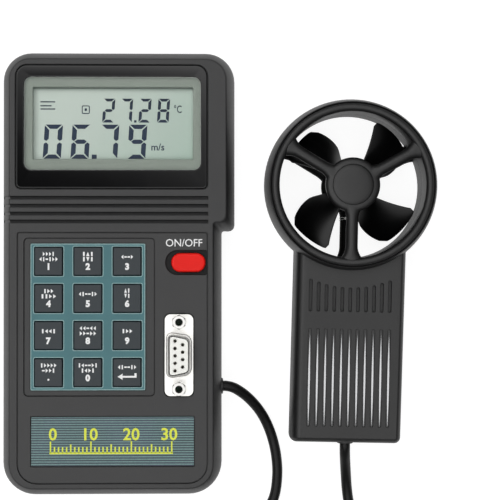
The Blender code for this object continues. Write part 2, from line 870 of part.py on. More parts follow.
def make_case_screws(meter):
    for number, place in enumerate(case_screw_places(), 1):
        make_screw(
            f"case_screw_{number}", place, SCREW_SINK, PARTING + SCREW_REACH, meter
        )


# Display


def make_display(meter):
    ledge = FACE - DISPLAY_RECESS
    bezel_low = ledge + GAP
    frame_plate(
        "display_bezel",
        (box_outline(bezel_box(), BEZEL_CORNER), box_outline(window_box(), KEY_CORNER)),
        bezel_low,
        FACE + BEZEL_RISE,
        meter,
        black_plastic(),
    )
    frame_high = bezel_low - GAP - LEAST_RADIUS / 3
    pane = inner_box(window_box(), [GAP] * 4)
    pane_low = frame_high + GAP
    frame_plate(
        "display_window",
        (box_outline(pane, KEY_CORNER),),
        pane_low,
        pane_low + WINDOW_THICKNESS,
        meter,
        material("clear_window", (0.9, 0.92, 0.92), 0.05, alpha=0.25),
    )
    frame_low = frame_high - LCD_FRAME_THICKNESS
    frame_plate(
        "lcd_frame",
        (box_outline(lcd_frame_box(), KEY_CORNER), box_outline(lcd_view_box(), KEY_CORNER)),
        frame_low,
        frame_high,
        meter,
        material("lcd_surround", (0.24, 0.27, 0.25), 0.5),
    )
    glass = inner_box(lcd_frame_box(), [GAP * 2] * 4)
    glass_high = frame_low - GAP
    glass_low = glass_high - LCD_THICKNESS
    frame_plate(
        "lcd_panel",
        (box_outline(glass, LEAST_RADIUS, steps=1),),
        glass_low,
        glass_high,
        meter,
        material("lcd_glass", (0.42, 0.52, 0.44), 0.35),
    )
    strip = (glass[0], glass[1], glass[2], glass[1] + CONTACT_STRIP_WIDTH)
    frame_plate(
        "lcd_contact_strip",
        (box_outline(strip, LEAST_RADIUS, steps=1),),
        BOARD_TOP + GAP,
        glass_low - GAP,
        meter,
        rubber(),
    )


# Boards


def make_main_board(meter):
    left = LEFT + BOARD_CLEAR
    low_right = LOWER_RIGHT - BOARD_CLEAR
    right = RIGHT - BOARD_CLEAR
    bottom = BAY_END + BAY_WALL + 4 * GAP
    top = TOP - BOARD_TOP_CLEAR
    step = STEP_Y + BOARD_CLEAR
    corners = (
        (left, bottom),
        (low_right, bottom),
        (low_right, step),
        (right, step),
        (right, top),
        (left, top),
    )
    outlines = [rounded(corners, [1 * MM] * 6)]
    outlines += [
        circle(SCREW_RADIUS + GAP, place, 12) for place in board_post_places()[:2]
    ]
    board = material("circuit_board", (0.02, 0.12, 0.05), 0.45)
    frame_plate("main_board", outlines, BOARD_BOTTOM, BOARD_TOP, meter, board)
    for number, place in enumerate(board_post_places()[:2], 1):
        head_low = BOARD_BOTTOM - GAP - SCREW_HEAD_HEIGHT
        make_screw(
            f"board_screw_{number}", place, head_low, CEILING - 2 * GAP, meter
        )
    chip = box_outline(box_around(CHIP_CENTRE, (CHIP_SIZE, CHIP_SIZE)), LEAST_RADIUS)
    chip_high = BOARD_BOTTOM - GAP
    chip_mesh = prisms("processor", [(chip, chip_high - CHIP_THICKNESS, chip_high)])
    link("processor", chip_mesh, meter, black_plastic())
    buzzer_profile = [
        (0, chip_high),
        (BUZZER_RADIUS, chip_high),
        (BUZZER_RADIUS, chip_high - BUZZER_HEIGHT),
        (1 * MM, chip_high - BUZZER_HEIGHT),
        (1 * MM, chip_high - BUZZER_HEIGHT / 2),
        (0, chip_high - BUZZER_HEIGHT / 2),
    ]
    turned("buzzer", buzzer_profile, meter, black_plastic(), (*BUZZER_CENTRE, 0), 24)


# Keys


def make_keypad(meter):
    places = key_places()
    plate_low = CEILING + PLATE_LEDGE + GAP
    window = (KEY_WIDTH + 2 * GAP, KEY_LENGTH + 2 * GAP)
    outlines = [box_outline(keypad_box(), KEY_CORNER)]
    outlines += [
        box_outline(box_around(place, window), KEY_CORNER, steps=2)
        for place in places.values()
    ]
    frame_plate(
        "keypad_plate",
        outlines,
        plate_low,
        plate_low + PLATE_THICKNESS,
        meter,
        material("teal_plate", (0.095, 0.21, 0.22), 0.4),
    )
    flange_high = CEILING - 1.5 * GAP
    flange_low = flange_high - KEY_FLANGE_THICKNESS
    stem_low = flange_low - KEY_STEM_LENGTH
    for name, place in places.items():
        make_key(name, place, flange_high, flange_low, stem_low, meter)
    make_keypad_mat(places, flange_low, stem_low, meter)


def make_key(name, place, flange_high, flange_low, stem_low, meter):
    """A key cap with a flange under the plate and a stem down to the mat."""
    cap = box_around((0, 0), (KEY_WIDTH, KEY_LENGTH))
    flange = outer_box(cap, [KEY_FLANGE] * 4)
    stem = box_around((0, 0), [2 * KEY_STEM_RADIUS] * 2)
    top = FACE + KEY_RISE
    edge = LEAST_RADIUS
    round_stem = box_outline(stem, KEY_STEM_RADIUS - LEAST_RADIUS, steps=2)
    flange_outline = box_outline(flange, KEY_CORNER, steps=2)
    cap_outline = box_outline(cap, KEY_CORNER, steps=2)
    rings = [
        at_height(round_stem, stem_low),
        at_height(round_stem, flange_low),
        at_height(flange_outline, flange_low),
        at_height(flange_outline, flange_high),
        at_height(cap_outline, flange_high),
        at_height(cap_outline, top - edge),
        at_height(box_outline(cap, KEY_CORNER, edge, steps=2), top),
    ]
    link(name, loft(name, rings), meter, key_plastic(), (*place, 0))


def make_keypad_mat(places, flange_low, stem_low, meter):
    """A rubber sheet on the board, with a collar round each key's stem. Each collar
    ends below the pressed key, and its bore is deeper than the pressed stem."""
    sheet_low = BOARD_TOP + GAP
    sheet_high = sheet_low + MAT_SHEET
    field = outer_box(keypad_box(), [GAP] * 4)
    shape = (box_outline(field, KEY_CORNER), sheet_low, sheet_high)
    mat = link("keypad_mat", prisms("keypad_mat", [shape]), meter, rubber())
    bore = KEY_STEM_RADIUS + GAP
    collar = bore + MAT_COLLAR_WALL
    middle = (sheet_low + sheet_high) / 2
    collar_high = flange_low - KEY_TRAVEL - GAP
    centres = list(places.values())
    join(mat, posts("mat_collars", centres, collar, middle, collar_high, meter))
    floor = stem_low - KEY_TRAVEL - GAP
    cut(mat, posts("mat_bores", centres, bore, floor, collar_high + PAST, meter))


# Power button


def make_power_button(meter):
    """A rounded cap that travels in its hole, and the switch under it on the board."""
    flange_high = CEILING - GAP
    flange_low = flange_high - KEY_FLANGE_THICKNESS
    top = FACE + POWER_RISE
    levels = (
        (-KEY_FLANGE, flange_low),
        (-KEY_FLANGE, flange_high),
        (0, flange_high),
        (0, top - 0.9 * MM),
        (0.25 * MM, top - 0.3 * MM),
        (0.8 * MM, top),
    )
    rings = [at_height(power_outline(inset), height) for inset, height in levels]
    mesh = loft("power_button", rings)
    mesh.transform(Matrix.Translation((-POWER_CENTRE[0], -POWER_CENTRE[1], 0)))
    red = material("red_plastic", (0.7, 0.028, 0.02), 0.35)
    link("power_button", mesh, meter, red, (*POWER_CENTRE, 0))
    switch = box_outline(
        box_around(POWER_CENTRE, (SWITCH_SIZE, SWITCH_SIZE)), LEAST_RADIUS
    )
    switch_high = flange_low - POWER_TRAVEL - GAP
    switch_mesh = prisms("power_switch", [(switch, BOARD_TOP + GAP, switch_high)])
    link("power_switch", switch_mesh, meter, black_plastic())


# Serial socket


def socket_outline(inset):
    """A D-shaped outline: long on its left side, short on its right."""
    half_width, half_length = SERIAL_SHELL[0] / 2, SERIAL_SHELL[1] / 2
    short = half_length - SERIAL_SLANT
    x, y = SERIAL_CENTRE
    corners = (
        (x - half_width, y - half_length),
        (x + half_width, y - short),
        (x + half_width, y + short),
        (x - half_width, y + half_length),
    )
    return rounded(corners, [SERIAL_SHELL_CORNER] * 4, inset, 5)


def contact_places():
    """The nine contacts: five in the long row and four in the short one."""
    x, y = SERIAL_CENTRE
    places = []
    for count, side in ((5, -1), (4, 1)):
        for k in range(count):
            places.append(
                (
                    x + side * SERIAL_ROW_PITCH / 2,
                    y + (k - (count - 1) / 2) * SERIAL_PIN_PITCH,
                )
            )
    return places


def jack_places():
    x, y = SERIAL_CENTRE
    return [(x, y + side * JACK_SPACING / 2) for side in (1, -1)]


def make_serial_socket(meter):
    flange_high = FACE - SERIAL_FLANGE_SINK
    flange_low = flange_high - SERIAL_FLANGE_THICKNESS
    shell_high = flange_high + SERIAL_SHELL_HEIGHT
    flange_outline = box_outline(
        box_around(SERIAL_CENTRE, SERIAL_FLANGE), SERIAL_SHELL_CORNER
    )
    flange = prisms("serial_shell", [(flange_outline, flange_low, flange_high)])
    shell = link("serial_shell", flange, meter, bright_steel())
    tube_mesh = prisms("shell_tube", [(socket_outline(0), flange_low, shell_high)])
    join(shell, link("shell_tube", tube_mesh, meter))
    inside = socket_outline(SERIAL_SHELL_WALL)
    cut_prism(shell, "shell_inside", inside, flange_low - PAST, shell_high + PAST, meter)
    cut(
        shell,
        posts(
            "jack_holes",
            jack_places(),
            JACK_SHANK + GAP,
            flange_low - PAST,
            flange_high + PAST,
            meter,
        ),
    )
    core_high = shell_high - GAP
    core = (socket_outline(SERIAL_SHELL_WALL + GAP), flange_low - 2 * GAP, core_high)
    insulator = link(
        "serial_insulator",
        prisms("serial_insulator", [core]),
        meter,
        material("pale_insulator", (0.78, 0.78, 0.74), 0.45),
    )
    body = (
        box_outline(box_around(SERIAL_CENTRE, SERIAL_BODY), LEAST_RADIUS),
        BOARD_TOP + GAP,
        flange_low - GAP,
    )
    join(insulator, link("socket_body", prisms("socket_body", [body]), meter))
    cut(
        insulator,
        posts(
            "contact_bores",
            contact_places(),
            SERIAL_CONTACT_RADIUS,
            core_high - SERIAL_CONTACT_DEPTH,
            core_high + PAST,
            meter,
            8,
        ),
    )
    for number, place in enumerate(jack_places(), 1):
        make_jack_nut(f"jack_nut_{number}", place, flange_low, flange_high + GAP, meter)


def make_jack_nut(name, place, flange_low, low, meter):
    """A hexagonal standoff: its shank goes through the flange, its bore takes a screw."""
    corner = JACK_ACROSS_FLATS / math.sqrt(3)
    hexagon = circle(corner, count=6)
    head = [
        point
        for k in range(6)
        for point in (
            hexagon[k],
            (Vector(hexagon[k]) + Vector(hexagon[(k + 1) % 6])) / 2,
        )
    ]
    top = low + JACK_HEIGHT
    rings = [
        at_height(circle(JACK_SHANK, count=12), flange_low - GAP),
        at_height(circle(JACK_SHANK, count=12), low),
        at_height(head, low),
        at_height(head, top),
        at_height(circle(JACK_BORE, count=12), top),
        at_height(circle(JACK_BORE, count=12), low),
    ]
    link(name, loft(name, rings), meter, bright_steel(), (*place, 0))


# Nameplate and battery


def make_nameplate(meter):
    shape = (
        box_outline(nameplate_box(), LEAST_RADIUS, steps=1),
        FACE - LABEL_THICKNESS,
        FACE,
    )
    look = material("striped_plate", (0.11, 0.17, 0.17), 0.45)
    link("nameplate", prisms("nameplate", [shape]), meter, look)


def battery_place():
    """The battery's centre: against the bay's rib, on the door's inner face."""
    low = WALL + GAP + DOOR_TONGUE_THICKNESS + GAP
    y = BAY_END - 2 * GAP - BATTERY[1] / 2
    return (BAY_X, y, low + BATTERY[2] / 2)


def make_battery(meter):
    x, y, z = battery_place()
    half = BATTERY[2] / 2
    shape = (
        box_outline(box_around((x, y), BATTERY[:2]), BATTERY_CORNER),
        z - half,
        z + half,
    )
    look = material("battery_can", (0.25, 0.25, 0.27), 0.35, 0.8)
    battery = link("battery", prisms("battery", [shape]), meter, look)
    end = x + BATTERY[0] / 2
    for number, (offset, radius) in enumerate(TERMINALS, 1):
        ends = ((end - 1 * MM, y + offset, z), (end + TERMINAL_HEIGHT, y + offset, z))
        join(battery, bar(f"terminal_{number}", radius, ends, meter, sides=12))
    snap_x = end + TERMINAL_HEIGHT + GAP
    snap_box = box_around((snap_x + SNAP[0] / 2, y), SNAP[:2])
    snap_shape = (
        box_outline(snap_box, LEAST_RADIUS),
        z - SNAP[2] / 2,
        z + SNAP[2] / 2,
    )
    link("battery_snap", prisms("battery_snap", [snap_shape]), meter, rubber())
    make_snap_leads(snap_x + SNAP[0] + GAP + LEAD_RADIUS, y, z, meter)


def make_snap_leads(x, y, z, meter):
    """The snap's two leads, over the bay's rib and up to the board's underside."""
    rib = BAY_END + GAP + BAY_WALL / 2
    over = BOARD_BOTTOM - 2 * MM
    for name, colour, rise, aside in (
        ("snap_lead_red", (0.5, 0.02, 0.02), 1.2 * MM, 2 * MM),
        ("snap_lead_black", (0.01, 0.01, 0.01), -1.2 * MM, 0),
    ):
        route = [
            (x, y, z + rise),
            (x, y + 4 * MM, z + rise),
            (x + aside, y + 8 * MM, z + rise),
            (x + aside, rib - 2 * MM, over - 0.3 * MM),
            (x + aside - 1 * MM, rib + 1.5 * MM, over - 0.3 * MM),
            (x + aside - 2 * MM, rib + 4.5 * MM, over + 0.2 * MM),
            (x + aside - 2 * MM, rib + 4.5 * MM, BOARD_BOTTOM - GAP),
        ]
        line = smooth_line(route, 4 * LEAD_RADIUS)
        tube(name, line, LEAD_RADIUS, meter, material(name, colour, 0.5))


# Cable


def grommet_profile(wall_inside, wall_outside):
    """A grommet's ring section, from its lip inside the wall to its end outside."""
    bore = CABLE_RADIUS + GAP
    lip = GROMMET_RADIUS + GROMMET_LIP
    lip_high = wall_inside - 2 * GAP
    lip_low = lip_high - GROMMET_LIP_THICKNESS
    return [
        (bore, wall_outside + GAP),
        (GROMMET_RADIUS, wall_outside + GAP),
        (GROMMET_RADIUS, lip_high),
        (lip, lip_high),
        (lip, lip_low),
        (bore, lip_low),
    ]


def route_points(route, start):
    return [Vector(start) + Vector(point) * MM for point in route]


def make_cables(meter, probe, whole):
    """Two grommets and the cable: its two straight runs and the coil between them."""
    profile = grommet_profile(LOWER_RIGHT - WALL, LOWER_RIGHT)
    meter_grommet = turned(
        "meter_grommet", profile, meter, rubber(), (0, CABLE_EXIT_Y, PARTING), 16, True
    )
    meter_grommet.rotation_euler = (0, math.pi / 2, 0)
    profile = grommet_profile(-handle_cavity()[1], HANDLE_LENGTH)
    probe_grommet = turned(
        "probe_grommet", profile, probe, rubber(), (0, 0, PROBE_PARTING), 16, True
    )
    probe_grommet.rotation_euler = (math.pi / 2, 0, 0)
    exit_at = Vector((LOWER_RIGHT - SET_MIDDLE_X, CABLE_EXIT_Y, 0))
    coil_at = exit_at + Vector((*COIL_FROM_EXIT, 0))
    down_handle = Matrix.Rotation(PROBE_TURN, 3, "Z") @ Vector((0, -HANDLE_LENGTH, 0))
    entry_at = Vector((RING_CENTRE_X - SET_MIDDLE_X, RING_CENTRE_Y, 0)) + down_handle
    meter_route = route_points(ROUTE_FROM_METER, exit_at)
    probe_route = route_points(ROUTE_FROM_COIL, coil_at)
    probe_route += route_points(ROUTE_TO_PROBE, entry_at)
    for name, route in (("meter_cable", meter_route), ("probe_cable", probe_route)):
        tube(name, smooth_line(route, 4 * CABLE_RADIUS), CABLE_RADIUS, whole, rubber())
    inner = COIL_TURN_RADII[0] - CABLE_RADIUS
    outer = COIL_TURN_RADII[-1] + CABLE_RADIUS
    high = COIL_LAYERS * 2 * CABLE_RADIUS
    section = [(inner, high), (outer, high), (outer, 0), (inner, 0)]
    turned("cable_coil", section, whole, rubber(), coil_at, 40, closed=True)


# Probe


def ring_profile(rim, end):
    """The outer side of half the ring, from its middle plane to its rounded rim."""
    outer = []
    for height in heights(rim, end, 5)[:-1]:
        away = abs(height - PROBE_PARTING) / abs(end - PROBE_PARTING)
        outer.append((RING_RADIUS - RING_DRAFT * away**2, height))
    inward = math.copysign(RING_ROUND, PROBE_PARTING - end)
    radius = RING_RADIUS - RING_DRAFT
    outer.append((radius, end + inward))
    outer.append((radius - RING_ROUND * 0.3, end + inward * 0.3))
    outer.append((radius - RING_ROUND, end))
    return outer


def bore_profile():
    """The ring's bore, flared at both rims. It runs past them."""
    flare = RING_BORE + RING_ROUND
    low, high = RING_ROUND, RING_DEPTH - RING_ROUND
    return [
        (0, RING_DEPTH + PAST),
        (flare, RING_DEPTH + PAST),
        (flare, RING_DEPTH),
        (RING_BORE + RING_ROUND * 0.3, high + RING_ROUND * 0.7),
        (RING_BORE, high),
        (RING_BORE, low),
        (RING_BORE + RING_ROUND * 0.3, low - RING_ROUND * 0.7),
        (flare, 0),
        (flare, -PAST),
        (0, -PAST),
    ]


def handle_half(name, rim, end, parent):
    """Half of the handle's outside, solid, from its middle plane to its flat side."""
    half = HANDLE_WIDTH / 2
    box = (-half, -HANDLE_LENGTH, half, -HANDLE_TOP)
    rings = [
        at_height(
            box_outline(box, HANDLE_CORNER, lean(z, PROBE_PARTING, end, HANDLE_DRAFT)), z
        )
        for z in heights(rim, end, 5)
    ]
    return link(name, loft(name, rings), parent)


def spokes(name, height, parent):
    work = bmesh.new()
    first, last = HUB_RADIUS - 2.5 * MM, RING_BORE + 2 * MM
    for angle in SPOKE_ANGLES:
        bmesh.ops.create_cone(
            work,
            cap_ends=True,
            segments=12,
            radius1=SPOKE_RADIUS,
            radius2=SPOKE_RADIUS,
            depth=last - first,
            matrix=Matrix.Rotation(math.radians(angle), 4, "Z")
            @ Matrix.Translation(((first + last) / 2, 0, height))
            @ Matrix.Rotation(math.pi / 2, 4, "Y"),
        )
    return link(name, finished(work, name), parent)


def handle_cavity():
    """The space in the handle, as (left, bottom, right, top) from the ring's centre."""
    half = HANDLE_WIDTH / 2 - HANDLE_DRAFT - HANDLE_WALL
    low = HANDLE_LENGTH - HANDLE_DRAFT - HANDLE_WALL / 2
    return (-half, -low, half, -HANDLE_CAVITY_TOP)


def make_probe_half(name, rim, end, handle_end, parent):
    """One half of the probe: half the ring and the handle, with a spider of three
    spokes and a hub. end is the height of its rim, and rim that of its joint face."""
    front = end > rim
    sign = 1 if front else -1
    profile = ring_profile(rim, end)
    profile = [(0, profile[0][1]), *profile, (0, end)]
    if front:
        profile.reverse()
    half = turned(name, profile, parent, case_plastic(), steps=RING_STEPS)
    join(half, handle_half(f"{name}_handle", rim, handle_end, parent))
    cut(half, turned(f"{name}_bore", bore_profile(), parent, None, steps=RING_STEPS))
    join(half, spokes(f"{name}_spokes", end - sign * (SPOKE_SINK + SPOKE_RADIUS), parent))
    hub_face = end - sign * HUB_SINK
    hub_back = hub_face - sign * HUB_THICKNESS
    span = sorted((hub_face, hub_back))
    join(half, posts(f"{name}_hub", [(0, 0)], HUB_RADIUS, *span, parent, 32))
    pocket = sorted((hub_back - sign * PAST, hub_back + sign * (BEARING_THICKNESS + GAP)))
    cut(
        half,
        posts(f"{name}_seat", [(0, 0)], BEARING_RADIUS + GAP, *pocket, parent, 20),
    )
    span = sorted((rim - sign * PAST, handle_end - sign * HANDLE_WALL))
    shape = (box_outline(handle_cavity(), LEAST_RADIUS, steps=1), *span)
    cavity_mesh = prisms(f"{name}_cavity", [shape])
    cut(half, link(f"{name}_cavity", cavity_mesh, parent))
    return half


def probe_screw_places():
    return [(0, -away) for away in PROBE_SCREWS]


def cut_handle_slots(front, probe):
    """Two rows of slots down the handle: the upper row starts on an arc."""
    shapes = []
    for k in range(SLOT_COUNT):
        x = (k - (SLOT_COUNT - 1) / 2) * SLOT_PITCH
        half = SLOT_WIDTH / 2
        arc_y = -math.sqrt(SLOT_ARC**2 - x**2)
        middle = -SLOT_BREAK
        upper = (x - half, middle + SLOT_BREAK_LENGTH / 2, x + half, arc_y)
        lower = (x - half, -SLOT_END, x + half, middle - SLOT_BREAK_LENGTH / 2)
        for box in (upper, lower):
            outline = box_outline(box, half - LEAST_RADIUS / 2, steps=2)
            shapes.append((outline, HANDLE_DEPTH - SLOT_DEPTH, HANDLE_DEPTH + PAST))
    cut(front, link("handle_slots", prisms("handle_slots", shapes), probe))


def probe_cable_hole(name, probe):
    ends = (
        (0, -HANDLE_LENGTH - PAST, PROBE_PARTING),
        (0, -HANDLE_LENGTH + PAST, PROBE_PARTING),
    )
    return bar(name, GROMMET_RADIUS + GAP, ends, probe)


def make_probe_front(probe):
    rim = PROBE_PARTING + GAP / 2
    front = make_probe_half("probe_front", rim, RING_DEPTH, HANDLE_DEPTH, probe)
    cap_floor = RING_DEPTH - HUB_SINK - HUB_CAP_THICKNESS
    cut(
        front,
        posts(
            "cap_recess",
            [(0, 0)],
            HUB_CAP_RADIUS + GAP,
            cap_floor - GAP,
            RING_DEPTH + PAST,
            probe,
            32,
        ),
    )
    cut_handle_slots(front, probe)
    bore = SCREW_RADIUS + GAP
    places = probe_screw_places()
    ceiling = HANDLE_DEPTH - HANDLE_WALL
    join(
        front,
        posts("front_bosses", places, bore + BOSS_WALL, rim, ceiling + GAP, probe),
    )
    cut(front, posts("front_bores", places, bore, rim - PAST, ceiling - GAP, probe))
    cut(front, probe_cable_hole("front_probe_hole", probe))
    profile = [
        (0, cap_floor + HUB_CAP_THICKNESS + GAP),
        (HUB_CAP_RADIUS - 0.6 * MM, cap_floor + HUB_CAP_THICKNESS + GAP),
        (HUB_CAP_RADIUS, cap_floor + HUB_CAP_THICKNESS),
        (HUB_CAP_RADIUS, cap_floor),
        (0, cap_floor),
    ]
    turned("hub_cap", profile, probe, case_plastic(), steps=32)


def make_probe_rear(probe):
    rim = PROBE_PARTING - GAP / 2
    rear = make_probe_half("probe_rear", rim, 0, 0, probe)
    hub_back = HUB_SINK + HUB_THICKNESS
    pickup = [(PICKUP_OFFSET, 0)]
    floor = hub_back - GAP - PICKUP_HEIGHT - GAP
    cut(
        rear,
        posts(
            "pickup_pocket", pickup, PICKUP_RADIUS + GAP, floor, hub_back + PAST, probe
        ),
    )
    places = probe_screw_places()
    head_bore = SCREW_HEAD_RADIUS + GAP
    join(
        rear,
        posts(
            "handle_bosses", places, head_bore + BOSS_WALL, HANDLE_WALL / 2, rim, probe
        ),
    )
    cut(
        rear,
        posts(
            "handle_head_bores",
            places,
            head_bore,
            -PAST,
            SCREW_SINK + SCREW_HEAD_HEIGHT,
            probe,
        ),
    )
    cut(
        rear,
        posts("handle_bores", places, SCREW_RADIUS + GAP, -PAST, rim + PAST, probe),
    )
    board_low = PROBE_PARTING - PROBE_BOARD[2] - 1 * MM
    stand = [
        (side * PROBE_BOARD[0] / 4, -PROBE_BOARD_CENTRE) for side in (-1, 1)
    ]
    join(
        rear,
        posts(
            "board_stands",
            stand,
            PROBE_POST_RADIUS,
            HANDLE_WALL / 2,
            board_low - GAP,
            probe,
        ),
    )
    cut(rear, probe_cable_hole("rear_probe_hole", probe))
    board = box_outline(
        box_around((0, -PROBE_BOARD_CENTRE), PROBE_BOARD[:2]), 1 * MM
    )
    board_mesh = prisms(
        "probe_board", [(board, board_low, board_low + PROBE_BOARD[2])]
    )
    look = material("circuit_board", (0.02, 0.12, 0.05), 0.45)
    link("probe_board", board_mesh, probe, look)
    for number, place in enumerate(places, 1):
        tip = HANDLE_DEPTH - HANDLE_WALL - 2 * GAP
        make_screw(f"probe_screw_{number}", place, SCREW_SINK, tip, probe)


# Vane wheel


def hub_faces():
    """The heights of the two hubs' inner faces, rear and front."""
    inner = HUB_SINK + HUB_THICKNESS
    return inner, RING_DEPTH - inner


def make_blades(axis):
    """Four blades: a grid bent to each blade's sweep and pitch, with a thickness."""
    work = bmesh.new()
    middle = RING_DEPTH / 2
    root = WHEEL_HUB_RADIUS - 1.5 * MM
    for number in range(BLADE_COUNT):
        grid = bmesh.ops.create_grid(work, x_segments=5, y_segments=6, size=1)
        turn = math.radians(BLADE_START + 360 * number / BLADE_COUNT)
        for vert in grid["verts"]:
            out, across = (vert.co.x + 1) / 2, vert.co.y
            tip = BLADE_TIP * (1 - 0.1 * across**6)
            reach = root + (tip - root) * out
            wide = math.radians(BLADE_HALF_ANGLE) * (1 - 0.12 * out**8)
            angle = turn + wide * across
            height = middle + BLADE_RISE / 2 * (across + 0.35 * (1 - across**2))
            vert.co = (reach * math.cos(angle), reach * math.sin(angle), height)
    mesh = bpy.data.meshes.new("blades")
    work.to_mesh(mesh)
    work.free()
    blades = link("blades", mesh, axis)
    thick = blades.modifiers.new("thickness", "SOLIDIFY")
    thick.thickness = BLADE_THICKNESS
    thick.offset = 0
    return blades


def make_wheel(axis):
    """The wheel, its axle and its magnet turn together in two bearings."""
    rear_face, front_face = hub_faces()
    middle = RING_DEPTH / 2
    hub_low = middle - WHEEL_HUB_LENGTH / 2
    hub_high = middle + WHEEL_HUB_LENGTH / 2
    nose = 1.5 * MM
    profile = [
        (0, hub_high),
        (WHEEL_HUB_RADIUS - nose, hub_high),
        (WHEEL_HUB_RADIUS, hub_high - nose),
        (WHEEL_HUB_RADIUS, hub_low),
        (0, hub_low),
    ]
    wheel = turned("vane_wheel", profile, axis, black_plastic(), steps=24)
    join(wheel, make_blades(axis))
    cut(
        wheel,
        posts(
            "wheel_bore",
            [(0, 0)],
            AXLE_RADIUS + GAP,
            hub_low - PAST,
            hub_high + PAST,
            axis,
        ),
    )
    steel = bright_steel()
    ends = (
        (0, 0, rear_face - BEARING_THICKNESS + AXLE_SINK),
        (0, 0, front_face + BEARING_THICKNESS - AXLE_SINK),
    )
    bar("axle", AXLE_RADIUS, ends, axis, steel, sides=12)
    magnet_high = hub_low - GAP
    bore = AXLE_RADIUS + GAP
    magnet = [
        (bore, magnet_high),
        (MAGNET_RADIUS, magnet_high),
        (MAGNET_RADIUS, magnet_high - MAGNET_THICKNESS),
        (bore, magnet_high - MAGNET_THICKNESS),
    ]
    look = material("magnet", (0.08, 0.08, 0.085), 0.4, 0.5)
    turned("rotor_magnet", magnet, axis, look, steps=24, closed=True)


def make_bearings(probe):
    rear_face, front_face = hub_faces()
    bore = AXLE_RADIUS + GAP
    for name, low in (
        ("bearing_rear", rear_face - BEARING_THICKNESS),
        ("bearing_front", front_face),
    ):
        high = low + BEARING_THICKNESS
        section = [(bore, high), (BEARING_RADIUS, high), (BEARING_RADIUS, low), (bore, low)]
        brass = material("bearing_brass", (0.55, 0.4, 0.16), 0.35, 1.0)
        turned(name, section, probe, brass, steps=20, closed=True)
    pickup_high = rear_face - GAP
    ends = (
        (PICKUP_OFFSET, 0, pickup_high - PICKUP_HEIGHT),
        (PICKUP_OFFSET, 0, pickup_high),
    )
    copper = material("coil_copper", (0.5, 0.22, 0.1), 0.4, 0.8)
    bar("pickup_coil", PICKUP_RADIUS, ends, probe, copper)


def make_thermistor(probe):
    """A small bead with a straight lead, beside the rear spider's lower spoke."""
    x = -(SPOKE_RADIUS + GAP + THERMISTOR_RADIUS)
    height = SPOKE_SINK + SPOKE_RADIUS
    radius = THERMISTOR_RADIUS
    half = THERMISTOR_LENGTH / 2
    profile = [
        (radius * math.sin(a), half - radius + radius * math.cos(a))
        for a in heights(0, math.pi / 2, 5)
    ]
    profile += [
        (radius * math.cos(a), radius - half - radius * math.sin(a))
        for a in heights(0, math.pi / 2, 5)
    ]
    look = material("white_bead", (0.8, 0.8, 0.78), 0.3)
    bead = turned(
        "thermistor", profile, probe, look, (x, -THERMISTOR_OUT, height), 16
    )
    bead.rotation_euler = (math.pi / 2, 0, 0)


def start_scene():
    for old in list(bpy.data.objects):
        bpy.data.objects.remove(old)
    for name in ("vane_anemometer", "cutters"):
        bpy.context.scene.collection.children.link(bpy.data.collections.new(name))


def frame_empty(name, at=(0, 0, 0), turn=0.0, parent=None):
    empty = link(name, None, parent, at=at)
    empty.rotation_euler = (0, 0, turn)
    return empty


def smooth_round_pieces():
    for made in bpy.data.collections["vane_anemometer"].objects:
        if made.type == "MESH":
            made.data.shade_smooth()
            made.data.set_sharp_from_angle(angle=math.radians(30))


def build():
    start_scene()
    whole = frame_empty("whole")
    meter = frame_empty("meter", (-SET_MIDDLE_X, 0, 0), parent=whole)
    probe_at = (RING_CENTRE_X - SET_MIDDLE_X, RING_CENTRE_Y, 0)
    probe = frame_empty("probe", probe_at, PROBE_TURN, whole)
    axis = frame_empty("wheel_axis", parent=probe)
    make_front_case(meter)
    make_rear_case(meter)
    make_battery_door(meter)
    make_case_screws(meter)
    make_display(meter)
    make_main_board(meter)
    make_keypad(meter)
    make_power_button(meter)
    make_serial_socket(meter)
    make_nameplate(meter)
    make_battery(meter)
    make_cables(meter, probe, whole)
    make_probe_front(probe)
    make_probe_rear(probe)
    make_wheel(axis)
    make_bearings(probe)
    make_thermistor(probe)
    smooth_round_pieces()


build()
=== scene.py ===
"""Looks of a vane anemometer: a hand-held meter with a display, keys and a serial
socket, and the vane probe on its cable. Metres, +Z up. Both lie on a pale table."""

import math

import bmesh
import bpy
from mathutils import Matrix, Vector


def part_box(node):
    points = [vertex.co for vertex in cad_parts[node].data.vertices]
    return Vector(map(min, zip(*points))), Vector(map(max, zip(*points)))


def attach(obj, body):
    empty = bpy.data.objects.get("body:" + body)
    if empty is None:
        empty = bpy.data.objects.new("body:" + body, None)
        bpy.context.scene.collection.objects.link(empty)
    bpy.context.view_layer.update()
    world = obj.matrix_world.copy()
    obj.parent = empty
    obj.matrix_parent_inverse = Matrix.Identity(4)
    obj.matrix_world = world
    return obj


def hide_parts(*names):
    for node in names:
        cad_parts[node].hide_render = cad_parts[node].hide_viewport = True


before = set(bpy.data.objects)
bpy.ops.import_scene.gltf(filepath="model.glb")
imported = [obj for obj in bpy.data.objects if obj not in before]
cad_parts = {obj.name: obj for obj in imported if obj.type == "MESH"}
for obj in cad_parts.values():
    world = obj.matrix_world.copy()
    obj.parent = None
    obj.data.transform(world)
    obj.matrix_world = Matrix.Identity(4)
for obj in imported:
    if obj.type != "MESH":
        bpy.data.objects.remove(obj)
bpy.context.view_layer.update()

# Camera, daylight studio and table. The camera stands over the meter and looks almost
# straight down. The light is one soft ring overhead, stronger from the upper left, with
# a dark gap where the camera hangs, and a pale horizon behind the table.

MM = 0.001
scene = bpy.context.scene
scene.view_settings.view_transform = "Standard"


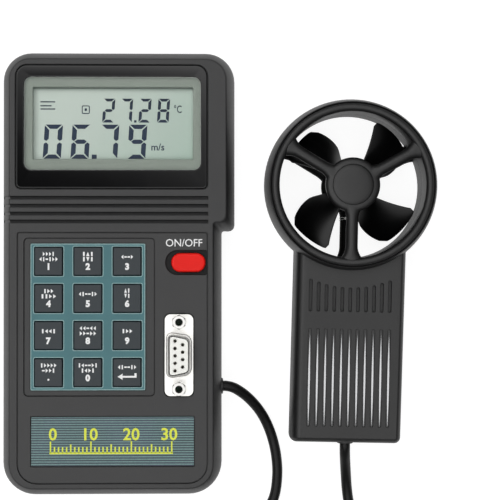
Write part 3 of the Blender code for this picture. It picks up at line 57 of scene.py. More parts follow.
class Wire:
    """An output of a shader node. Sums and products of wires add Math nodes."""

    def __init__(self, tree, node=None, output=0):
        self.tree, self.node = tree, node
        self.socket = node.outputs[output] if node else None

    def add(self, kind, settings=None, sockets=None, output=0):
        """Any other node: its settings first, then its sockets' values or links."""
        node = self.tree.nodes.new("ShaderNode" + kind)
        for name, value in (settings or {}).items():
            setattr(node, name, value)
        for name, value in (sockets or {}).items():
            if isinstance(value, Wire):
                self.tree.links.new(value.socket, node.inputs[name])
            else:
                node.inputs[name].default_value = value
        return Wire(self.tree, node, output)

    def out(self, output):
        return Wire(self.tree, self.node, output)

    def math(self, operation, first, second=0.0):
        return self.add("Math", {"operation": operation}, {0: first, 1: second})

    def __add__(self, other):
        return self.math("ADD", self, other)

    def __sub__(self, other):
        return self.math("SUBTRACT", self, other)

    def __mul__(self, other):
        return self.math("MULTIPLY", self, other)

    def __rsub__(self, other):
        return self.math("SUBTRACT", other, self)

    __radd__, __rmul__ = __add__, __mul__

    def rise(self, low, high):
        """0 below low and 1 above high, with a smooth step between."""
        return self.add(
            "MapRange",
            {"interpolation_type": "SMOOTHSTEP"},
            {"Value": self, "From Min": low, "From Max": high},
        )

    def mix(self, first, second):
        """The first colour where this wire is 0 and the second where it is 1."""
        first, second = ((*c, 1) if isinstance(c, tuple) else c for c in (first, second))
        return self.add("Mix", {"data_type": "RGBA"}, {0: self, 6: first, 7: second}, 2)

    def spot(self):
        """The place on the piece, as three outputs, in metres."""
        return self.add("SeparateXYZ", {}, {0: self.add("TexCoord", output="Object")})

    def bump(self, strength, depth, height):
        """A relief with its full depth in millimetres."""
        sockets = {"Strength": strength, "Distance": depth * MM, "Height": height}
        return self.add("Bump", {}, sockets)


def placed(name, data):
    """A new object in the scene."""
    made = bpy.data.objects.new(name, data)
    scene.collection.objects.link(made)
    return made


def mesh_of(work, name="form"):
    """The mesh of a bmesh, which is used up."""
    mesh = bpy.data.meshes.new(name)
    work.to_mesh(mesh)
    work.free()
    return mesh


EYE, AIM, LENS = (-9.75 * MM, 4.4 * MM, 690 * MM), (9.58 * MM, 9.09 * MM, 0), 127.2
camera = placed("camera", bpy.data.cameras.new("camera"))
camera.data.lens = LENS
camera.data.clip_start = 20 * MM
camera.location = EYE
back = (camera.location - Vector(AIM)).normalized()
right = Vector((0, 1, 0)).cross(back).normalized()
turn = Matrix((right, back.cross(right), back)).transposed()
camera.rotation_euler = turn.to_euler()
scene.camera = camera

world = bpy.data.worlds.new("studio")
world.use_nodes = True
scene.world = world
room = Wire(world.node_tree)
way = room.add("SeparateXYZ", {}, {0: room.add("TexCoord", output="Generated")})
east, north, height = (way.out(axis) for axis in "XYZ")
sideways = east + 0.14
gap = north * north + 0.3 * sideways * sideways
overhead = height.rise(0.6, 0.76) * gap.rise(0.0016, 0.026)
horizon = 1 - height.rise(0.02, 0.2)
aside = (1 + 0.5 * north - 0.75 * east) * (1 - 0.8 * east.rise(0.1, 0.6))
below = north.rise(-0.5, -0.38) * (1 - north.rise(-0.16, -0.08))
light = 0.05 + 0.95 * horizon + 1.85 * overhead * (aside + 0.45 * below)
light = room.math("MAXIMUM", light, room.add("LightPath").out("Is Camera Ray"))
sky = world.node_tree.nodes["Background"].inputs
world.node_tree.links.new(light.socket, sky["Strength"])
sky["Color"].default_value = (1, 1, 1, 1)

table_form = bmesh.new()
bmesh.ops.create_grid(table_form, x_segments=8, y_segments=8, size=30)
table = placed("table", mesh_of(table_form, "table"))
table_look = bpy.data.materials.new("table")
table_look.use_nodes = True
table.data.materials.append(table_look)
board = Wire(table_look.node_tree)
ray = board.add("LightPath")
mirrored = board.math("MAXIMUM", ray.out("Is Glossy Ray"), ray.out("Is Transmission Ray"))
shine = 0.9 * ray.out("Is Camera Ray") + 0.76 * mirrored
paper = board.add("BsdfDiffuse", {}, {"Color": (0.22, 0.22, 0.22, 1)})
glow = board.add("Emission", {}, {"Strength": shine})
both = board.add("AddShader", {}, {0: paper, 1: glow})
shown = table_look.node_tree.nodes["Material Output"].inputs["Surface"]
table_look.node_tree.links.new(both.socket, shown)

# Cable. One round black lead, 4 mm thick, soft PVC over stranded wires. It leaves the
# meter's right side, runs down to the table and past the meter's lower end, is wound
# into a flat coil there, and comes back up to the lower end of the handle.

CABLE_RADIUS = 2 * MM
LEAD_FROM_METER = (
    (-3.35, -43, 13), (0.45, -43, 13), (1.85, -43, 13), (5.35, -43.9, 12.4),
    (10.05, -47.2, 9.8), (14.45, -52, 6.6), (17.75, -57.4, 4.1), (20.25, -63.8, 2.5),
    (21.85, -71, 2.1), (22.25, -79, 2.1), (20.85, -87.5, 2.1), (16.25, -95.2, 2.1),
    (11.35, -101, 2.1), (8.9, -107.6, 2.1), (8.5, -115, 2.1),
)
LEAD_TO_PROBE = (
    (64.5, -115, 10), (64.4, -108.6, 10), (62.2, -102.6, 8.6), (57.6, -98.2, 5.6),
    (52.9, -94.6, 3.4), (50.3, -89.6, 2.8), (49.35, -84.18, 3.4), (48.75, -78.38, 5.6),
    (48.2, -73.28, 9.2), (47.75, -69.38, 12.8), (47.6, -66.38, 14.5), (47.6, -64.38, 14.6),
    (47.66, -61.48, 14.6), (47.73, -57.98, 14.6),
)
COIL_CENTRE, COIL_START = (36.5, -124), (28, 2.1)
COIL_ANGLES = range(180, 2161, 10)
# Where the coil moves to its next turn: from angle, to angle, new radius, new height.
COIL_MOVES = (
    (440, 500, 23.8, 2.1), (800, 860, 19.6, 2.1), (1110, 1170, 19.6, 6.1),
    (1410, 1470, 23.8, 6.1), (1770, 1830, 28, 6.1), (2075, 2140, 28, 10),
)


def smooth_line(points, spacing):
    """Points about one spacing apart on a smooth curve through the given points."""
    given = [Vector(p) for p in points]
    ends = [2 * given[0] - given[1], *given, 2 * given[-1] - given[-2]]
    line = []
    for a, b, c, d in zip(ends, ends[1:], ends[2:], ends[3:]):
        count = max(1, round((c - b).length / spacing))
        square, cube = 2 * a - 5 * b + 4 * c - d, 3 * b - a - 3 * c + d
        for t in (k / count for k in range(count)):
            line.append(0.5 * (2 * b + (c - a) * t + square * t**2 + cube * t**3))
    return [*line, given[-1]]


def coil_point(angle):
    """The cable's middle at an angle of the coil, counted in degrees over all turns."""
    radius, height = COIL_START
    for start, end, new_radius, new_height in COIL_MOVES:
        part = min(max((angle - start) / (end - start), 0), 1)
        part = part * part * (3 - 2 * part)
        radius += (new_radius - radius) * part
        height += (new_height - height) * part
    turn = math.radians(angle)
    x, y = COIL_CENTRE
    return (x + radius * math.cos(turn), y + radius * math.sin(turn), height)


coil = [coil_point(angle) for angle in COIL_ANGLES]
cable_line = smooth_line((*LEAD_FROM_METER, *coil, *LEAD_TO_PROBE), 1.2)
cable_line = [p * MM for p in cable_line]
cable_curve = bpy.data.curves.new("cable", "CURVE")
cable_curve.dimensions = "3D"
cable_curve.bevel_depth = CABLE_RADIUS
cable_curve.bevel_resolution = 4
cable_curve.use_fill_caps = True
spline = cable_curve.splines.new("POLY")
spline.points.add(len(cable_line) - 1)
for point, place in zip(spline.points, cable_line):
    point.co = (*place, 1)
spline.use_smooth = True
cable = placed("cable", cable_curve)


def finish(name, colour, roughness, metallic=0.0, shine=0.5, alpha=1.0):
    """A material of one shader, its wire for more nodes, and a call that links them."""
    look = bpy.data.materials.new(name)
    look.use_nodes = True
    shader = look.node_tree.nodes["Principled BSDF"]
    even = {
        "Base Color": (*colour, 1), "Roughness": roughness, "Metallic": metallic,
        "Specular IOR Level": shine, "Alpha": alpha,
    }
    for socket, value in even.items():
        shader.inputs[socket].default_value = value

    def feed(socket, wire):
        look.node_tree.links.new(wire.socket, shader.inputs[socket])

    return look, Wire(look.node_tree), feed


def noise(wire, scale, detail=2.0, rough=0.5):
    """An even noise over the piece. Scale is in features per metre."""
    place = wire.add("TexCoord", output="Object")
    sockets = {"Vector": place, "Scale": scale, "Detail": detail, "Roughness": rough}
    return wire.add("TexNoise", {}, sockets)


def moulded(name, colour, roughness, grain=2600, depth=0.03, uneven=0.12, shine=0.5):
    """A moulded plastic or rubber: fine spark-eroded grain in its surface, and slightly
    uneven tone and gloss. Grain is in features per metre, depth in millimetres, and shine
    is how strongly it reflects."""
    look, wire, feed = finish(name, colour, roughness, shine=shine)
    fine, cloud = noise(wire, grain, 3, 0.6), noise(wire, 45, 4, 0.6)
    speck = noise(wire, grain * 0.45, 2)
    tone = fine * 0.5 + speck * 0.7 + cloud * 0.8 - 1
    dark, light = (tuple(c * (1 + s * uneven) for c in colour) for s in (-2, 2))
    feed("Base Color", (tone * 0.5 + 0.5).mix(dark, light))
    feed("Roughness", roughness + 0.14 * (cloud + speck - 1))
    feed("Normal", wire.bump(1.0, depth, fine * 0.6 + speck * 0.4))
    return look


cable_look = moulded("cable pvc", (0.005, 0.005, 0.005), 0.42, 900, 0.02, shine=0.2)
cable_curve.materials.append(cable_look)
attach(cable, "instrument")
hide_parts("meter_cable", "cable_coil", "probe_cable")
steps = zip(cable_line, cable_line[1:])
cable_length = sum((second - first).length for first, second in steps)

# Tie on the coil. A narrow nylon strap round the turns at the coil's far side, with a
# square head on top.


def rounded(work, geom, radius, steps, affect="EDGES", clamp_overlap=False):
    """Rounds off edges or corners of a form."""
    bmesh.ops.bevel(
        work, geom=geom, offset=radius, offset_type="OFFSET", segments=steps, profile=0.5,
        material=-1, affect=affect, clamp_overlap=clamp_overlap,
    )


def outline(corners, radii, height, steps):
    """A bmesh of one flat face, with round corners."""
    work = bmesh.new()
    verts = [work.verts.new((x, y, height)) for x, y in corners]
    work.faces.new(verts)
    if isinstance(radii, (int, float)):
        radii = [radii] * len(corners)
    for vert, radius in zip(verts, radii):
        if radius:
            rounded(work, [vert], radius, steps, "VERTICES")
    work.faces.ensure_lookup_table()
    work.faces[0].normal_update()
    if work.faces[0].normal.z < 0:
        work.faces[0].normal_flip()
    return work


def outward(work):
    """Turns the faces of a closed form outwards."""
    bmesh.ops.recalc_face_normals(work, faces=work.faces)
    return work


def grown(work, rise):
    """Extrudes flat faces upwards into a closed form."""
    raised = bmesh.ops.extrude_face_region(work, geom=list(work.faces))["geom"]
    verts = [part for part in raised if isinstance(part, bmesh.types.BMVert)]
    bmesh.ops.translate(work, vec=(0, 0, rise), verts=verts)
    return outward(work)


def band(corners, radii, width, low, high, steps=6):
    """A closed band of even width that follows an outline on its inner side."""
    work = outline(corners, radii, low, steps)
    inner = list(work.faces)
    bmesh.ops.inset_region(
        work, faces=inner, thickness=width, use_boundary=True, use_even_offset=True
    )
    bmesh.ops.delete(work, geom=inner, context="FACES_ONLY")
    return grown(work, high - low)


def slab(corners, radii, low, high, steps=6):
    """A flat closed form with upright sides."""
    return grown(outline(corners, radii, low, steps), high - low)


def joined(forms):
    """One bmesh with several separate forms."""
    whole = bmesh.new()
    for form in forms:
        mesh = mesh_of(form)
        whole.from_mesh(mesh)
        bpy.data.meshes.remove(mesh)
    return whole


def box(left, bottom, right, top, grow=0.0):
    """The corners of a rectangle, with every side moved out."""
    left, bottom, right, top = left - grow, bottom - grow, right + grow, top + grow
    return ((left, bottom), (right, bottom), (right, top), (left, top))


def around(x, y, width, length, grow=0.0):
    """The corners of a rectangle round its middle."""
    half_width, half_length = width / 2 + grow, length / 2 + grow
    return box(x - half_width, y - half_length, x + half_width, y + half_length)


def piece(name, work, place, look, node=None, angle=32, body="instrument"):
    """The object of a bmesh in millimetres, put in its place, which rides on a body and
    stands for a CAD node. Edges sharper than angle stay sharp. Flat faces keep their own
    shading, and the roundings beside them meet it."""
    work.transform(place @ Matrix.Scale(MM, 4))
    mesh = mesh_of(work, name)
    mesh.shade_smooth()
    mesh.set_sharp_from_angle(angle=math.radians(angle))
    made = placed(name, mesh)
    shading = made.modifiers.new("shading", "WEIGHTED_NORMAL")
    shading.keep_sharp = True
    graph = bpy.context.evaluated_depsgraph_get()
    made.data = bpy.data.meshes.new_from_object(made.evaluated_get(graph))
    made.modifiers.clear()
    bpy.data.meshes.remove(mesh)
    made.data.materials.append(look)
    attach(made, body)
    if node:
        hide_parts(node)
    return made


nylon = moulded("nylon tie", (0.03, 0.03, 0.03), 0.35, 1500, 0.01)
strap = band(box(17.4, 0.1, 30.2, 8.4), 2.2, 0.45, -1.2, 1.2)
tie_form = joined([strap, slab(around(21.5, 8.6, 3.4, 1.6), 0.4, -1.7, 1.7, 3)])
# The strap's section lies along a radius of the coil and upwards.
stand = Matrix(((0, 0, -1, 36.5 * MM), (-1, 0, 0, -124 * MM), (0, 1, 0, 0), (0, 0, 0, 1)))
tie = piece("cable_tie", tie_form, stand, nylon)

# Front half of the case. Moulded ABS with a fine spark-eroded grain. Its sides are
# convex and lean in to a flat face, with shallow recesses for what is fitted into it,
# four grip grooves and thin lines round the lower panel and the keypad's recess.

case_low, case_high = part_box("front_case")
METER = Matrix.Translation(((case_low.x + case_high.x) / 2, 0, 0))
CASE = ((-44, -84), (39.1, -84), (39.1, 16.1), (44, 16.1), (44, 84), (-44, 84))
CASE_ROUND = (12.5, 12.5, 0, 0, 11, 11)
CASE_LATE = ((2, 0.9), (3, 2.2))
FACE, CEILING, PARTING, WALL, DRAFT = 26.2, 24.2, 13, 2, 3.3


def carry(work, face, inset, height, levels):
    """Takes a flat face through levels of (inset, height), with a wall to each."""
    for next_inset, next_height in levels:
        bmesh.ops.inset_region(
            work, faces=[face], thickness=next_inset - inset, use_boundary=True,
            use_even_offset=True,
        )
        rise = (0, 0, next_height - height)
        bmesh.ops.translate(work, vec=rise, verts=face.verts)
        inset, height = next_inset, next_height


def solid(corners, radii, start, above, below=(), steps=8, late=()):
    """A closed form: an outline at the height start, taken through levels of (inset,
    height) above and below. Late corners, as (index, radius), are rounded last."""
    work = outline(corners, radii, start, steps)
    carry(work, work.faces[0], 0, start, above)
    open_edges = [edge for edge in work.edges if edge.is_boundary]
    under = bmesh.ops.holes_fill(work, edges=open_edges)["faces"][0]
    carry(work, under, 0, start, below)
    bmesh.ops.remove_doubles(work, verts=work.verts, dist=1e-5)
    for index, radius in late:
        corner = Vector(corners[index])
        before = (Vector(corners[index - 1]) - corner).normalized()
        after = (Vector(corners[(index + 1) % len(corners)]) - corner).normalized()
        bisector = (before + after).normalized()
        chain = [
            edge
            for edge in work.edges
            if all(
                abs((v.co.xy - corner).cross(bisector)) < 1e-3
                and (v.co.xy - corner).length < 9
                for v in edge.verts
            )
        ]
        rounded(work, chain, radius, 4)
    return outward(work)


def well(corners, radii, floor, top=FACE, rim=0.25, steps=6):
    """A cutter for a recess or opening whose upper edge is rounded by rim."""
    bend = [math.radians(angle) for angle in (0, 30, 60, 90)]
    levels = [(rim * math.sin(a), top - rim * (1 - math.cos(a))) for a in bend]
    return solid(corners, radii, top + 2, [(0, top + 4)], [*levels, (rim, floor)], steps)


def rod(radius, start, end, sides=24):
    """A round bar between two points."""
    work = bmesh.new()
    first, last = Vector(start), Vector(end)
    along = last - first
    turn = along.to_track_quat("Z", "Y").to_matrix().to_4x4()
    bmesh.ops.create_cone(
        work, cap_ends=True, segments=sides, radius1=radius, radius2=radius,
        depth=along.length, matrix=Matrix.Translation((first + last) / 2) @ turn,
    )
    return work


def carved(work, others, operation="DIFFERENCE"):
    """Cuts other forms out of one, or joins them to it."""
    objects = []
    for form in (work, *others):
        objects.append(placed("form", mesh_of(form)))
        if form is not work:
            step = objects[0].modifiers.new("step", "BOOLEAN")
            step.operation, step.object, step.solver = operation, objects[-1], "EXACT"
    graph = bpy.context.evaluated_depsgraph_get()
    result = bmesh.new()
    cut = objects[0].evaluated_get(graph)
    result.from_mesh(cut.to_mesh())
    cut.to_mesh_clear()
    for made in objects:
        mesh = made.data
        bpy.data.objects.remove(made)
        bpy.data.meshes.remove(mesh)
    return result


def leaning(widest, end, count):
    """The levels of the case's convex side, between its widest height and near its end."""
    rise = abs(end - widest)
    bend = (rise**2 + DRAFT**2) / (2 * DRAFT)
    sign = math.copysign(1, end - widest)
    last = end - 0.8 * sign
    levels = []
    for k in range(1, count + 1):
        height = widest + (last - widest) * k / count
        levels.append((bend - math.sqrt(bend**2 - (height - widest) ** 2), height))
    crown = ((3.12, 0.42), (3.3, 0.18), (3.52, 0.05), (3.8, 0))
    return [*levels, *((inset, end - sign * drop) for inset, drop in crown)]


front_form = solid(
    CASE, CASE_ROUND, PARTING + 0.3, leaning(PARTING, FACE, 10),
    [(0.06, PARTING + 0.1), (0.25, PARTING)], 10, CASE_LATE,
)
hollow = [(inset + WALL, height) for inset, height in leaning(PARTING, CEILING, 4)[:4]]
bezel_box = (-38.2, 32, 33.5, 78.3)
view_box = (-35.6, 38.6, 31.4, 74.3)
keypad_box = box(-35.35, -46.05, 13.9, 13.55)
plate_box = (-32.7, -43.7, 10.25, 11.3)
label_box = (-32.4, -72.1, 28.5, -53.7)
POWER, SOCKET = (26.4, 4.2), (22.9, -30.6)
CABLE_WAY = ((30, -43, PARTING), (48, -43, PARTING))
cutters = [
    solid(CASE, CASE_ROUND, 10, [(WALL, 12), *hollow, (5.2, CEILING)], steps=5),
    well(box(*bezel_box, 0.55), (2.4, 2.2, 4.7, 4.7), FACE - 1.2),
    well(box(*view_box, 1), 0.8, CEILING - 3, CEILING + 0.9, 0.1),
    well(keypad_box, 1.7, FACE - 0.7),
    well(box(*plate_box, 0.3), 0.8, CEILING + 0.8, FACE - 0.7, 0.05),
    well(box(*plate_box, -0.8), 0.8, CEILING - 3, CEILING + 0.8, 0.05),
    well(box(17.6, -0.65, 33.7, 9.05), (4.7, 0.9, 0.9, 4.7), FACE - 1),
    well(around(*POWER, 12.7, 7, 0.3), 3.79, CEILING - 3, FACE - 1, 0.1),
    well(box(*label_box, 0.45), 0.5, FACE - 0.7, rim=0.15),
    well(around(*SOCKET, 10.8, 30.8, 0.4), 2.4, CEILING - 3, rim=0.15),
    band(box(-37.85, -78.9, 33.8, 15.7), (7.5, 7.5, 1, 1), 0.55, FACE - 1.3, FACE + 2),
    band(keypad_box, 1.7, 0.42, FACE - 1.6, FACE + 1),
    rod(3.4, *CABLE_WAY),
]
# The grip grooves: a sloped trough across the face, and a narrow cut down the left side.
GROOVE = ((0.7, 3), (0.7, -1), (0.1, -0.66), (-0.4, -0.29), (-0.75, -0.08), (-1.05, 0.02),
          (-1.05, 3))
side_cut = [(-44 + 0.55 + inset, height) for inset, height in leaning(PARTING, FACE, 6)]
side_cut = [(-50, 14.5), (-43.4, 14.5), *(p for p in side_cut if p[1] > 15), (-39, 30), (-50, 30)]
for middle in (19.6 + 2.97 * k for k in range(4)):
    trough = slab([(middle + u, FACE + v) for u, v in GROOVE], 0, -60, 33.9)
    trough.transform(Matrix(((0, 0, 1, 0), (1, 0, 0, 0), (0, 1, 0, 0), (0, 0, 0, 1))))
    cutters.append(outward(trough))
    wrap = slab(side_cut, 0, middle - 0.5, middle + 0.5)
    upright = Matrix.Rotation(math.pi / 2, 4, "X") @ Matrix.Translation((0, 0, -middle))
    wrap.transform(Matrix.Translation((0, middle, 0)) @ upright)
    cutters.append(wrap)
front_form = carved(front_form, cutters)
case_look = moulded("case abs", (0.013, 0.013, 0.0135), 0.48)
piece("case_front", front_form, METER, case_look, "front_case")

# Rear half of the case. The same ABS. Its floor has a doorway at the lower end and four
# deep bores for the case's screws.

DOOR_MIDDLE, DOOR_HALF, DOOR_END = -4, 27, -52.6
CASE_SCREWS = ((-33, 77.3), (33, 77.3), (-36.6, -70), (31, -70))

rear_levels = leaning(PARTING, 0, 10)
rear_form = solid(
    CASE, CASE_ROUND, PARTING - 0.6, [(0.06, PARTING - 0.42), (0.25, PARTING - 0.3)],
    rear_levels, 10, CASE_LATE,
)
hollow = [(inset + WALL, height) for inset, height in leaning(PARTING, WALL, 4)[:4]]
cavity = solid(CASE, CASE_ROUND, 15, [(0, 16)], [(WALL, 14), *hollow, (5.2, WALL)], 5)
door_left, door_right = DOOR_MIDDLE - DOOR_HALF, DOOR_MIDDLE + DOOR_HALF
doorway = slab(box(door_left, -90, door_right, DOOR_END, 0.3), 0, -3, 2.2)
runners = slab(box(door_left - 1.5, -90, door_right + 1.5, DOOR_END, 0.3), 0, 2, 3.4)
rear_form = carved(rear_form, [cavity])
bosses = [rod(3, (x, y, 1), (x, y, PARTING - 0.3), 20) for x, y in CASE_SCREWS]
bosses.append(slab(box(-41, DOOR_END + 0.6, 36, DOOR_END + 2.1), 0, 1, PARTING - 0.3))
rear_form = carved(rear_form, bosses, "UNION")
cutters = [rod(3.4, *CABLE_WAY), doorway, runners]
for x, y in CASE_SCREWS:
    cutters += [rod(2.2, (x, y, -2), (x, y, 2.6)), rod(1.2, (x, y, -2), (x, y, 16), 16)]
rear_form = carved(rear_form, cutters)
piece("case_rear", rear_form, METER, case_look, "rear_case")

# Battery door. A panel of the same ABS that slides out of the lower end. Tongues on
# both sides run over the floor, and a few cross ribs on its outside give a grip.

door_form = solid(
    CASE, CASE_ROUND, PARTING - 0.6, [(0.25, PARTING - 0.3)], rear_levels, 10, CASE_LATE
)
panel = slab(box(door_left, -90, door_right, DOOR_END), 0, -3, 2.8)
door_form = carved(door_form, [panel], "INTERSECT")
ribs = [
    slab(around(DOOR_MIDDLE, -62.5 - 1.8 * k, 22 - 2 * k, 0.8), 0.35, -2, 0.4, 4)
    for k in range(6)
]
door_form = carved(door_form, ribs)
tongue_box = box(door_left - 1.5, -81.9, door_right + 1.5, DOOR_END - 1.5)
door_form = carved(door_form, [slab(tongue_box, 0.4, 2.3, 3.1)], "UNION")
piece("door_panel", door_form, METER, case_look, "battery_door", body="door")

# Screws. Nickel-plated steel pan heads with a cross recess. Four hold the case, two the
# board and two the probe's handle.


def turned(profile, sides, closed=False):
    """A round form of a profile of (radius, height), from axis to axis or closed."""
    work = bmesh.new()
    verts = [work.verts.new((radius, 0, height)) for radius, height in profile]
    edges = [work.edges.new(pair) for pair in zip(verts, verts[1:])]
    if closed:
        edges.append(work.edges.new((verts[-1], verts[0])))
    bmesh.ops.spin(
        work, geom=verts + edges, cent=(0, 0, 0), axis=(0, 0, 1), angle=math.tau,
        steps=sides, use_merge=True,
    )
    bmesh.ops.remove_doubles(work, verts=work.verts, dist=1e-5)
    return outward(work)


def moved(work, place):
    """The same form in another place."""
    work.transform(place)
    return work


def screws(kind, places, head, tip, whole):
    """Screws from the outer faces of their heads to their tips, both as heights."""
    for number, (x, y) in enumerate(places, 1):
        length = tip - head
        profile = [(0, length), (0.45, length), (0.9, length - 0.9), (0.9, 1.6), (1.75, 1.6)]
        profile += [(1.88, 1.5), (1.9, 1.3), (1.86, 0.7), (1.68, 0.3), (1.35, 0.08), (0.9, 0)]
        arms = [slab(around(0, 0, *arm), 0, -1, 0.8) for arm in ((2.3, 0.5), (0.5, 2.3))]
        form = carved(turned([*profile, (0, 0)], 24), arms)
        form = moved(form, Matrix.Translation((x, y, head)))
        node = f"{kind}_screw_{number}"
        piece(f"screw_{kind}_{number}", form, whole, steel, node, 40)


def metal(name, colour, roughness, streak=0.08, wear=0.12):
    """A plated metal: fine streaks in its gloss, and a slightly uneven tone."""
    look, wire, feed = finish(name, colour, roughness, 1.0)
    fine, cloud = noise(wire, 4200, 3, 0.7), noise(wire, 160, 4, 0.6)
    dull = tuple(c * (1 - wear) for c in colour)
    feed("Base Color", cloud.rise(0.35, 0.65).mix(dull, colour))
    feed("Roughness", roughness + streak * (fine + cloud - 1))
    feed("Normal", wire.bump(0.6, 0.006, fine))
    return look


steel = metal("nickel plate", (0.66, 0.65, 0.62), 0.28)
screws("case", CASE_SCREWS, 1, 19, METER)
screws("board", ((-37.5, 33.1), (36.5, 33.1)), 14.6, 23.6, METER)

# Display bezel and window. A frame of glossy black plastic with a rounded outer edge
# stands a little proud of the face and holds a clear flat pane.

gloss_black, wire, feed = finish("gloss black", (0.0025, 0.0025, 0.003), 0.05)
smear, fine = noise(wire, 60, 4, 0.65), noise(wire, 900, 2)
feed("Roughness", 0.03 + 0.05 * smear.rise(0.42, 0.7) + 0.02 * fine)
feed("Base Color", smear.mix((0.0018, 0.0018, 0.002), (0.0034, 0.0034, 0.004)))
feed("Normal", wire.bump(0.2, 0.01, noise(wire, 120, 2)))
edge = [(0, 26.1), (0.06, 26.34), (0.18, 26.5), (0.36, 26.58), (0.5, 26.6)]
bezel_form = solid(box(*bezel_box), (1.9, 1.7, 4.2, 4.2), 25.3, edge)
bezel_form = carved(bezel_form, [well(box(*view_box), 3.2, 24, 26.6, 0.35, 8)])
piece("bezel", bezel_form, METER, gloss_black, "display_bezel", 50)

pane, wire, feed = finish("clear pane", (0.1, 0.12, 0.12), 0.06, alpha=0.07)
haze = noise(wire, 90, 4, 0.6)
feed("Roughness", 0.04 + 0.08 * haze)
feed("Base Color", haze.mix((0.06, 0.08, 0.08), (0.14, 0.16, 0.16)))


def skinned(look, *names):
    """Gives CAD nodes a finish of this script."""
    for name in names:
        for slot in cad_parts[name].material_slots:
            slot.material = look


skinned(pane, "display_window")

# Display. A matt grey-green frame lies over a liquid crystal. A thin pale band round
# the frame's opening is a painted highlight on its edge, and a dark band under its upper
# edge is painted shade. The crystal is painted lighter towards the upper left, with a
# painted shadow of the frame along its top. Its dark segments show two numbers of four
# digits with units.

GLASS = (-32.2, 42.8, 28.3, 70.4)
surround_look = moulded("display frame", (0.265, 0.308, 0.262), 0.55, 3800, 0.012, 0.06)
rim_levels = [(0, 24.8), (0.06, 24.88), (0.14, 24.9)]
surround_form = solid(box(*view_box, 0.7), 3.6, 22.3, rim_levels)
surround_form = carved(surround_form, [well(box(*GLASS), 0.4, 20, 24.9, 0.2, 4)])
piece("display_frame", surround_form, METER, surround_look, "lcd_frame", 50)
# A pale band just inside the bezel's opening: a painted highlight on the frame's edge, which also
# lifts the shade the bezel casts there.
edge_highlight_look = moulded("display painted highlight", (0.52, 0.55, 0.52), 0.5, 3200, 0.01, 0.05)
line = band(box(*view_box, 0.22), 3.4, 0.72, 24.89, 24.93, 8)
piece("display_edge_highlight", line, METER, edge_highlight_look)
# A dark band under the frame, widest along the crystal's top and thin elsewhere: painted shade
# where the frame shadows the crystal.
frame_shade_look = moulded("display painted shade", (0.15, 0.185, 0.16), 0.6, 3000, 0.01, 0.06)
shade_band_opening = slab(box(-32.06, 42.85, 28.2, 69.78), 0.4, 21, 23, 4)
lip = carved(slab(box(*GLASS, 0.1), 0.3, 22.05, 22.3, 3), [shade_band_opening])
piece("display_shade_band", lip, METER, frame_shade_look)

crystal, wire, feed = finish("liquid crystal", (0.42, 0.52, 0.44), 0.32)
spot = wire.spot()
# The crystal is painted lighter towards the upper left and darker towards the lower right: a
# painted fall of light, with uneven tone from the noises on top.
painted_light_slope = (spot.out("X") - spot.out("Y")) * 9 + 1.15
cloud, fine = noise(wire, 30, 3), noise(wire, 5200, 2)
painted_light_and_tone = painted_light_slope + 0.5 * (cloud - 0.5) + 0.16 * (fine - 0.5)
clear = painted_light_and_tone.rise(0, 1).mix((0.61, 0.7, 0.63), (0.4, 0.54, 0.455))
# A darker strip along the crystal's top edge is a painted shadow of the frame.
feed("Base Color", spot.out("Y").rise(68.7 * MM, 70.2 * MM).mix(clear, (0.26, 0.33, 0.28)))
feed("Roughness", 0.26 + 0.14 * fine)
skinned(crystal, "lcd_panel")

LIT = {"0": "abcdef", "2": "abdeg", "6": "acdefg", "7": "abc", "8": "abcdefg", "9": "abcdfg"}
SLANT, SEGMENT = 0.066, (22.02, 22.06, 2)


def digit(figure, right, low, width, height, upright, level):
    """The lit bars of one slanted digit. upright and level are their two widths."""
    wide, gap, half = width - SLANT * height, 0.16 * level, height / 2
    top = ((gap, height), (wide - gap, height), (wide - upright - gap, height - level),
           (upright + gap, height - level))
    side = ((0, height - gap), (upright, height - level - 2 * gap),
            (upright, half + level / 2 + gap), (upright / 2, half + gap), (0, half + level / 2))
    middle = ((upright * 0.6, half), (upright + gap, half + level / 2),
              (wide - upright - gap, half + level / 2), (wide - upright * 0.6, half),
              (wide - upright - gap, half - level / 2), (upright + gap, half - level / 2))
    right_side = tuple((wide - x, y) for x, y in side)
    shapes = {"a": top, "g": middle, "f": side, "b": right_side}
    for mirrored, name in (("d", "a"), ("e", "f"), ("c", "b")):
        shapes[mirrored] = tuple((x, height - y) for x, y in shapes[name])
    start = right - wide - SLANT * height
    bars = []
    for name in LIT[figure]:
        corners = [(start + x + SLANT * y, low + y) for x, y in shapes[name]]
        bars.append(slab(corners, 0.12, *SEGMENT))
    return bars


def lettered(words, tall, x, y, z, width=None, bold=0.0, thick=0.02):
    """Printed figures as a flat form, centred on x, with their capitals from y up. The
    type's capitals are 0.682 of its size."""
    text = bpy.data.curves.new("print", "FONT")
    text.body, text.align_x = words, "CENTER"
    text.size, text.offset, text.extrude, text.resolution_u = 1, bold, thick / 2, 3
    shown = placed("print", text)
    graph = bpy.context.evaluated_depsgraph_get()
    mesh = bpy.data.meshes.new_from_object(shown.evaluated_get(graph))
    bpy.data.objects.remove(shown)
    bpy.data.curves.remove(text)
    work = bmesh.new()
    work.from_mesh(mesh)
    bpy.data.meshes.remove(mesh)
    bmesh.ops.remove_doubles(work, verts=work.verts, dist=1e-5)
    across = [vert.co.x for vert in work.verts]
    scale = tall / 0.682
    stretch = width / (max(across) - min(across)) if width else scale
    middle = (max(across) + min(across)) / 2 * stretch
    return moved(
        work, Matrix.Translation((x - middle, y, z)) @ Matrix.Diagonal((stretch, scale, 1, 1))
    )


